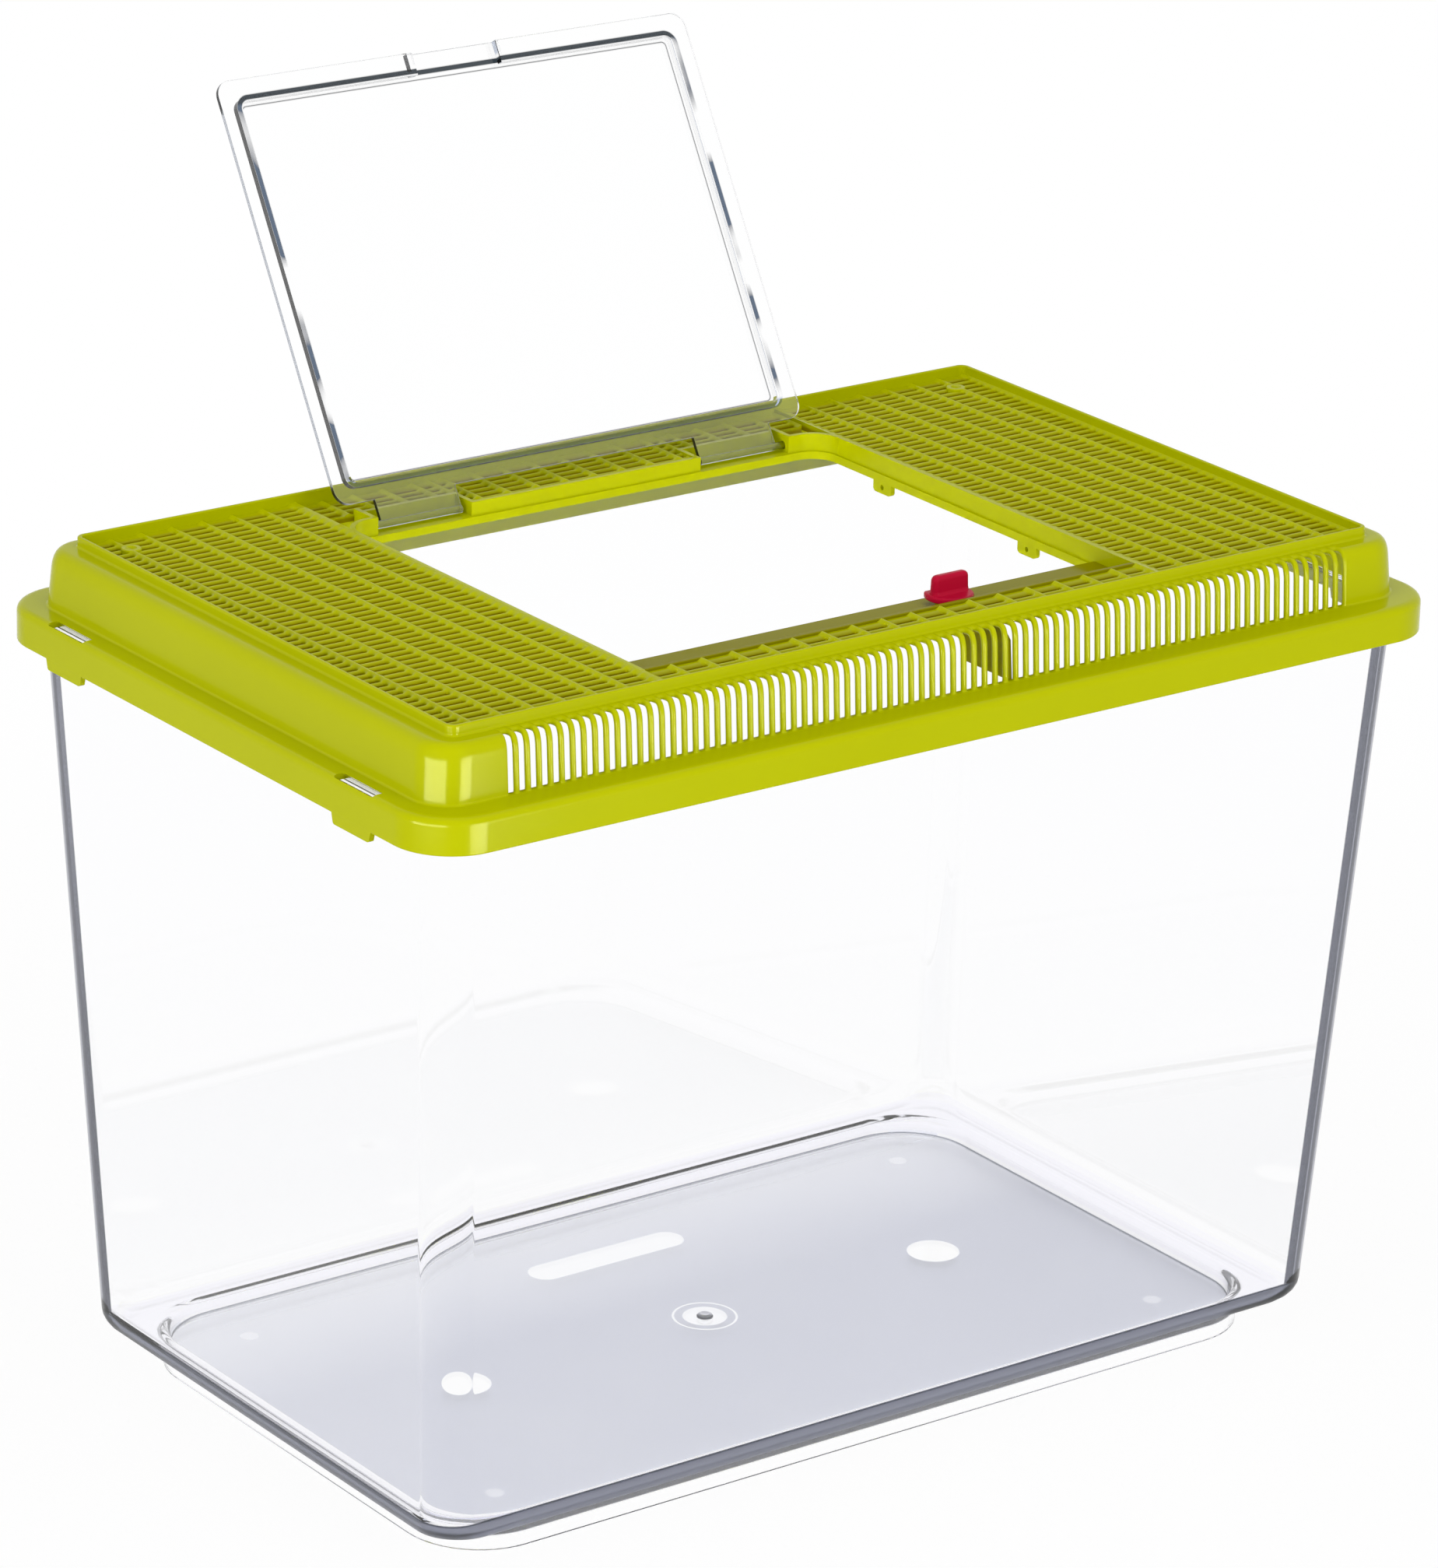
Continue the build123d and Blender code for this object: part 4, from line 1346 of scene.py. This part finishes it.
    def build(self, finish: bpy.types.Material, level_finish: bpy.types.Material,
              lowered_finish: bpy.types.Material) -> None:
        """Makes the side, front and rear panels and the two pads.

        Args:
            finish: Material of the pads.
            level_finish: Material of the level panels, with painted shade down in the slots.
            lowered_finish: The same for the lowered rear panels.
        """
        for panels, dress in zip(self.panels(), (level_finish, lowered_finish)):
            for panel in panels:
                self.add_panel(panel, dress)
        pads = Shape()
        for side in (-1, 1):
            pads.turned((side * self.pad[0], self.pad[1]), self.pad_profile)
        Piece("grille_pads", Body.LID, Slot.GREEN, finish).place(pads.mesh("grille_pads"))


@dataclass
class OpeningWalls:
    """Walls round the hatch opening, with the front ledge and the hinge bays."""

    edge_radius: float = 0.35

    def build(self, finish: bpy.types.Material, ledge: bpy.types.Material) -> None:
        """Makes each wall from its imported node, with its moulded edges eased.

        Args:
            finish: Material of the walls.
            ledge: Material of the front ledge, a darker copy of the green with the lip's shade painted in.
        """
        for name, node, dress in (("opening_side_left", "opening_wall_left", finish),
                                  ("opening_side_right", "opening_wall_right", finish),
                                  ("ledge_front", "front_ledge", ledge),
                                  ("hinge_bays", "hinge_wall", finish)):
            piece = Piece(name, Body.LID, Slot.GREEN, dress, (node,))
            piece.place(eased_copy([node], self.edge_radius))


# --- hatch and latch ---------------------------------------------------------------------------
@dataclass
class Hatch:
    """Clear hatch with its raised panel and pins."""

    edge_radius: float = 0.7
    edge_steps: int = 4

    def build(self, finish: bpy.types.Material) -> None:
        """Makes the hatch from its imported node, with its edges eased."""
        piece = Piece("hatch_clear", Body.HATCH, Slot.CLEAR_HATCH, finish, ("hatch",))
        piece.place(eased_copy(["hatch"], self.edge_radius, self.edge_steps))


@dataclass
class Latch:
    """Swivel latch: cam plate with a flat, a rounded wing and the stem."""

    pivot: Span = (31.0, -80.5)
    cam_radius: float = 8.25
    cam_flat: float = 5.15
    cam_z: Span = (289.12, 291.2)
    cam_chamfer: float = 0.3
    cam_round: float = 0.9
    cam_turns: tuple[int, ...] = (0, 30, 60, 90)
    wing_half: Span = (7.3, 1.9)
    wing_top: float = 297.65
    wing_corner: float = 0.92
    wing_steps: int = 6
    wing_foot: tuple[Point, ...] = ((-0.4, 0.2, 1.3), (0.1, 0.12, 0.75), (0.6, 0.05, 0.3), (1.3, 0.0, 0.0))
    wing_head: tuple[Point, ...] = ((-1.7, -0.12, -0.2), (-0.9, -0.35, -0.35), (-0.35, -0.85, -0.65),
                                    (-0.08, -1.5, -1.0), (0.0, -2.3, -1.4))
    stem_profile: tuple[Span, ...] = ((2.6, 283.2), (3.0, 283.4), (3.88, 284.6), (3.0, 284.69),
                                      (2.99, 289.3))

    def cam_ring(self, margin: float, z: float, steps: int = 40) -> list[Point]:
        """Outline of the cam plate, a circle with a flat towards the hatch.

        Args:
            margin: How far the outline is drawn in.
            z: Its height.
            steps: Segments round it.

        Returns:
            The points.
        """
        radius, flat = self.cam_radius - margin, self.cam_flat - margin
        half_angle = math.acos(flat / radius)
        points: list[Point] = []
        for step in range(steps + 1):
            angle = math.pi / 2 + half_angle + (2 * math.pi - 2 * half_angle) * step / steps
            points.append((self.pivot[0] + radius * math.cos(angle),
                           self.pivot[1] + radius * math.sin(angle), z))
        return points

    def wing_rings(self) -> list[list[Point]]:
        """Outlines of the wing; foot and head say height, then growth in length and thickness."""
        levels = [(self.cam_z[1] + rise, *grow) for rise, *grow in self.wing_foot]
        levels += [(self.wing_top + rise, *grow) for rise, *grow in self.wing_head]
        rings: list[list[Point]] = []
        for z, grow_x, grow_y in levels:
            half_x, half_y = self.wing_half[0] + grow_x, self.wing_half[1] + grow_y
            section = Section(half_x, half_y, half_y * self.wing_corner, z)
            rings.append([(x + self.pivot[0], y + self.pivot[1], z)
                          for x, y, _ in section.ring(self.wing_steps)])
        return rings

    def build(self, finish: bpy.types.Material) -> None:
        """Makes the plate, wing and stem as one moulding.

        Args:
            finish: Its material.
        """
        low, high = self.cam_z
        rings = [self.cam_ring(self.cam_chamfer, low), self.cam_ring(0.0, low + self.cam_chamfer)]
        for degrees in self.cam_turns:
            turn = math.radians(degrees)
            rings.append(self.cam_ring(self.cam_round * (1 - math.cos(turn)),
                                       high - self.cam_round + self.cam_round * math.sin(turn)))
        knob = Shape()
        knob.loft(rings)
        knob.loft(self.wing_rings())
        knob.turned(self.pivot, self.stem_profile)
        Piece("latch_wing", Body.LATCH, Slot.RED, finish, ("latch_knob",)).place(knob.mesh("latch_wing"))


# --- studio ------------------------------------------------------------------------------------
@dataclass(frozen=True)
class Shown:
    """Level of the background for camera, glossy, transmission and other rays."""

    camera: float
    glossy: float
    transmission: float
    other: float


@dataclass(frozen=True)
class Softbox:
    """Rectangular lamp, in metres and watts."""

    name: str
    centre: Point
    aim: Point
    size: Span
    watts: float
    diffuse: bool = True
    gloss: bool = True


@dataclass
class Studio:
    """Pale floor, soft light and the camera."""

    camera_mm: Point = (-1333.596, -1779.207, 1024.594)
    azimuth: float = 36.84
    elevation: float = 20.237
    roll: float = 1.577
    lens: float = 161.02
    sensor: float = 36.0
    clip_end: float = 50.0
    backdrop: Shown = Shown(1.0, 1.0, 1.0, 0.45)
    near_floor: Shown = Shown(0.95, 0.95, 0.98, 0.0)
    far_floor: Shown = Shown(1.0, 1.0, 1.0, 0.0)
    floor_fade: Span = (0.25, 0.8)
    floor_half: float = 12.0
    floor_color: Color = (0.94, 0.94, 0.95)
    floor_roughness: float = 0.9
    softboxes: tuple[Softbox, ...] = (
        Softbox("key_front", (0.1, -1.3, 0.6), (0.0, 0.0, 0.2), (0.9, 0.9), 7.0, gloss=False),
        Softbox("key_left", (-1.4, -0.35, 0.6), (0.0, 0.0, 0.2), (0.9, 0.9), 8.0, gloss=False),
        Softbox("key_top", (-0.1, -0.1, 1.8), (0.0, 0.0, 0.2), (1.2, 1.2), 5.0, gloss=False),
        Softbox("glint_front", (-0.014, -0.746, 0.1425), (-0.19, -0.11, 0.1425), (0.366, 0.285), 11.5,
                diffuse=False),
        Softbox("glint_left", (-1.04, -0.436, 0.1425), (-0.19, -0.11, 0.1425), (1.05, 0.285), 31.0,
                diffuse=False),
    )

    def add_camera(self) -> None:
        """Camera at the photograph's place and angle."""
        data = bpy.data.cameras.new("camera")
        data.lens = self.lens
        data.sensor_width = self.sensor
        data.clip_end = self.clip_end
        camera = bpy.data.objects.new("camera", data)
        bpy.context.scene.collection.objects.link(camera)
        turn, tilt, roll = (math.radians(v) for v in (self.azimuth, self.elevation, self.roll))
        forward = Vector((math.sin(turn) * math.cos(tilt), math.cos(turn) * math.cos(tilt),
                          -math.sin(tilt)))
        level = Vector((math.cos(turn), -math.sin(turn), 0.0))
        upward = level.cross(forward)
        right = level * math.cos(roll) + upward * math.sin(roll)
        above = upward * math.cos(roll) - level * math.sin(roll)
        matrix = Matrix((right, above, -forward)).transposed().to_4x4()
        matrix.translation = Vector(self.camera_mm) * MM
        camera.matrix_world = matrix
        bpy.context.scene.camera = camera

    @staticmethod
    def shown(graph: Graph, share: Shown) -> Socket:
        """Level at which the background shows to each kind of ray."""
        path = graph.tree.nodes.new("ShaderNodeLightPath")
        seen: object = share.other
        for label, level in (("Is Camera Ray", share.camera), ("Is Glossy Ray", share.glossy),
                             ("Is Transmission Ray", share.transmission)):
            seen = graph.math("MAXIMUM", seen, graph.math("MULTIPLY", path.outputs[label], level))
        return seen

    def add_world(self) -> None:
        """White background; the light that it gives the object has its own strength."""
        world = bpy.data.worlds.new("studio")
        bpy.context.scene.world = world
        world.use_nodes = True
        graph = Graph(world.node_tree)
        background = graph.tree.nodes["Background"]
        background.inputs["Color"].default_value = (*WHITE, 1.0)
        graph.fill(background.inputs["Strength"], self.shown(graph, self.backdrop))

    def add_floor(self) -> None:
        """Pale floor that shows white and keeps the shadow."""
        mesh = bpy.data.meshes.new("floor")
        half = self.floor_half
        mesh.from_pydata([(-half, -half, 0), (half, -half, 0), (half, half, 0), (-half, half, 0)],
                         [], [(0, 1, 2, 3)])
        floor = bpy.data.objects.new("floor", mesh)
        bpy.context.scene.collection.objects.link(floor)
        material, graph, diffuse = new_material("pale_floor")
        diffuse.inputs["Base Color"].default_value = (*self.floor_color, 1.0)
        diffuse.inputs["Roughness"].default_value = self.floor_roughness
        diffuse.inputs["Specular IOR Level"].default_value = 0.0
        glow = graph.node("ShaderNodeEmission", {"Color": WHITE, "Strength": 1.0})
        where = graph.tree.nodes.new("ShaderNodeNewGeometry").outputs["Position"]
        away = graph.node("ShaderNodeVectorMath", {0: where})
        away.operation = "LENGTH"
        far = graph.rise(away.outputs["Value"], *self.floor_fade)
        share = graph.math("ADD", graph.product(self.shown(graph, self.near_floor), graph.rest(far)),
                           graph.product(self.shown(graph, self.far_floor), far))
        mix = graph.node("ShaderNodeMixShader", {0: share, 1: diffuse.outputs[0], 2: glow.outputs[0]})
        graph.fill(graph.tree.nodes["Material Output"].inputs["Surface"], mix.outputs[0])
        mesh.materials.append(material)

    def add_softbox(self, box: Softbox) -> None:
        """Rectangular lamp that faces its aim and stays out of view itself."""
        data = bpy.data.lights.new(box.name, "AREA")
        data.shape = "RECTANGLE"
        data.size, data.size_y = box.size
        data.energy = box.watts
        lamp = bpy.data.objects.new(box.name, data)
        bpy.context.scene.collection.objects.link(lamp)
        lamp.location = Vector(box.centre)
        lamp.rotation_euler = (Vector(box.aim) - lamp.location).to_track_quat("-Z", "Y").to_euler()
        lamp.visible_camera = False
        lamp.visible_transmission = False
        lamp.visible_diffuse = box.diffuse
        lamp.visible_glossy = box.gloss

    def build(self) -> None:
        """Sets up the camera, background, floor and lamps."""
        self.add_camera()
        self.add_world()
        self.add_floor()
        for box in self.softboxes:
            self.add_softbox(box)
        bpy.context.scene.view_settings.view_transform = "Standard"


def main() -> None:
    """Builds the studio and every sub-assembly in order."""
    logging.basicConfig(level=logging.INFO, format="%(name)s %(message)s")
    Studio().build()
    green = PlasticFinish("green_moulding", color=(0.49, 0.52, 0.0), shade=(0.455, 0.48, 0.0), polish=0.15,
                          specular=0.08, glint=(1.0, 1.0, 0.5))
    # painted shade darkens the grille's slots below their crests
    slotted = replace(green, name="green_grille_painted_shade", painted_shade_heights=(291.15, 290.1))
    lowered = replace(green, name="green_rear_grille_painted_shade", painted_shade_heights=(289.95, 288.9))
    # painted shade: a darker copy of the green for the front ledge under the lip
    ledge = replace(green, name="green_ledge_painted_shade", color=(0.28, 0.26, 0.0), shade=(0.25, 0.23, 0.0),
                    specular=0.03)
    red = PlasticFinish("crimson_moulding", color=(0.52, 0.004, 0.036), shade=(0.45, 0.003, 0.029),
                        polish=0.3, specular=0.08)
    clear = TankFinish("clear_styrene", absorb=(0.64, 0.66, 0.82), density=8.0)
    clear_thin = HatchFinish("clear_hatch_styrene", absorb=(0.5, 0.58, 0.75), density=3.0, specular=0.12)
    plain = green.material()
    Tank().build(clear.material())
    LidRim().build(plain)
    FrontLouvre().build(plain)
    Grille().build(plain, slotted.material(), lowered.material())
    OpeningWalls().build(plain, ledge.material())
    Hatch().build(clear_thin.material())
    Latch().build(red.material())


if __name__ == "__main__":
    main()
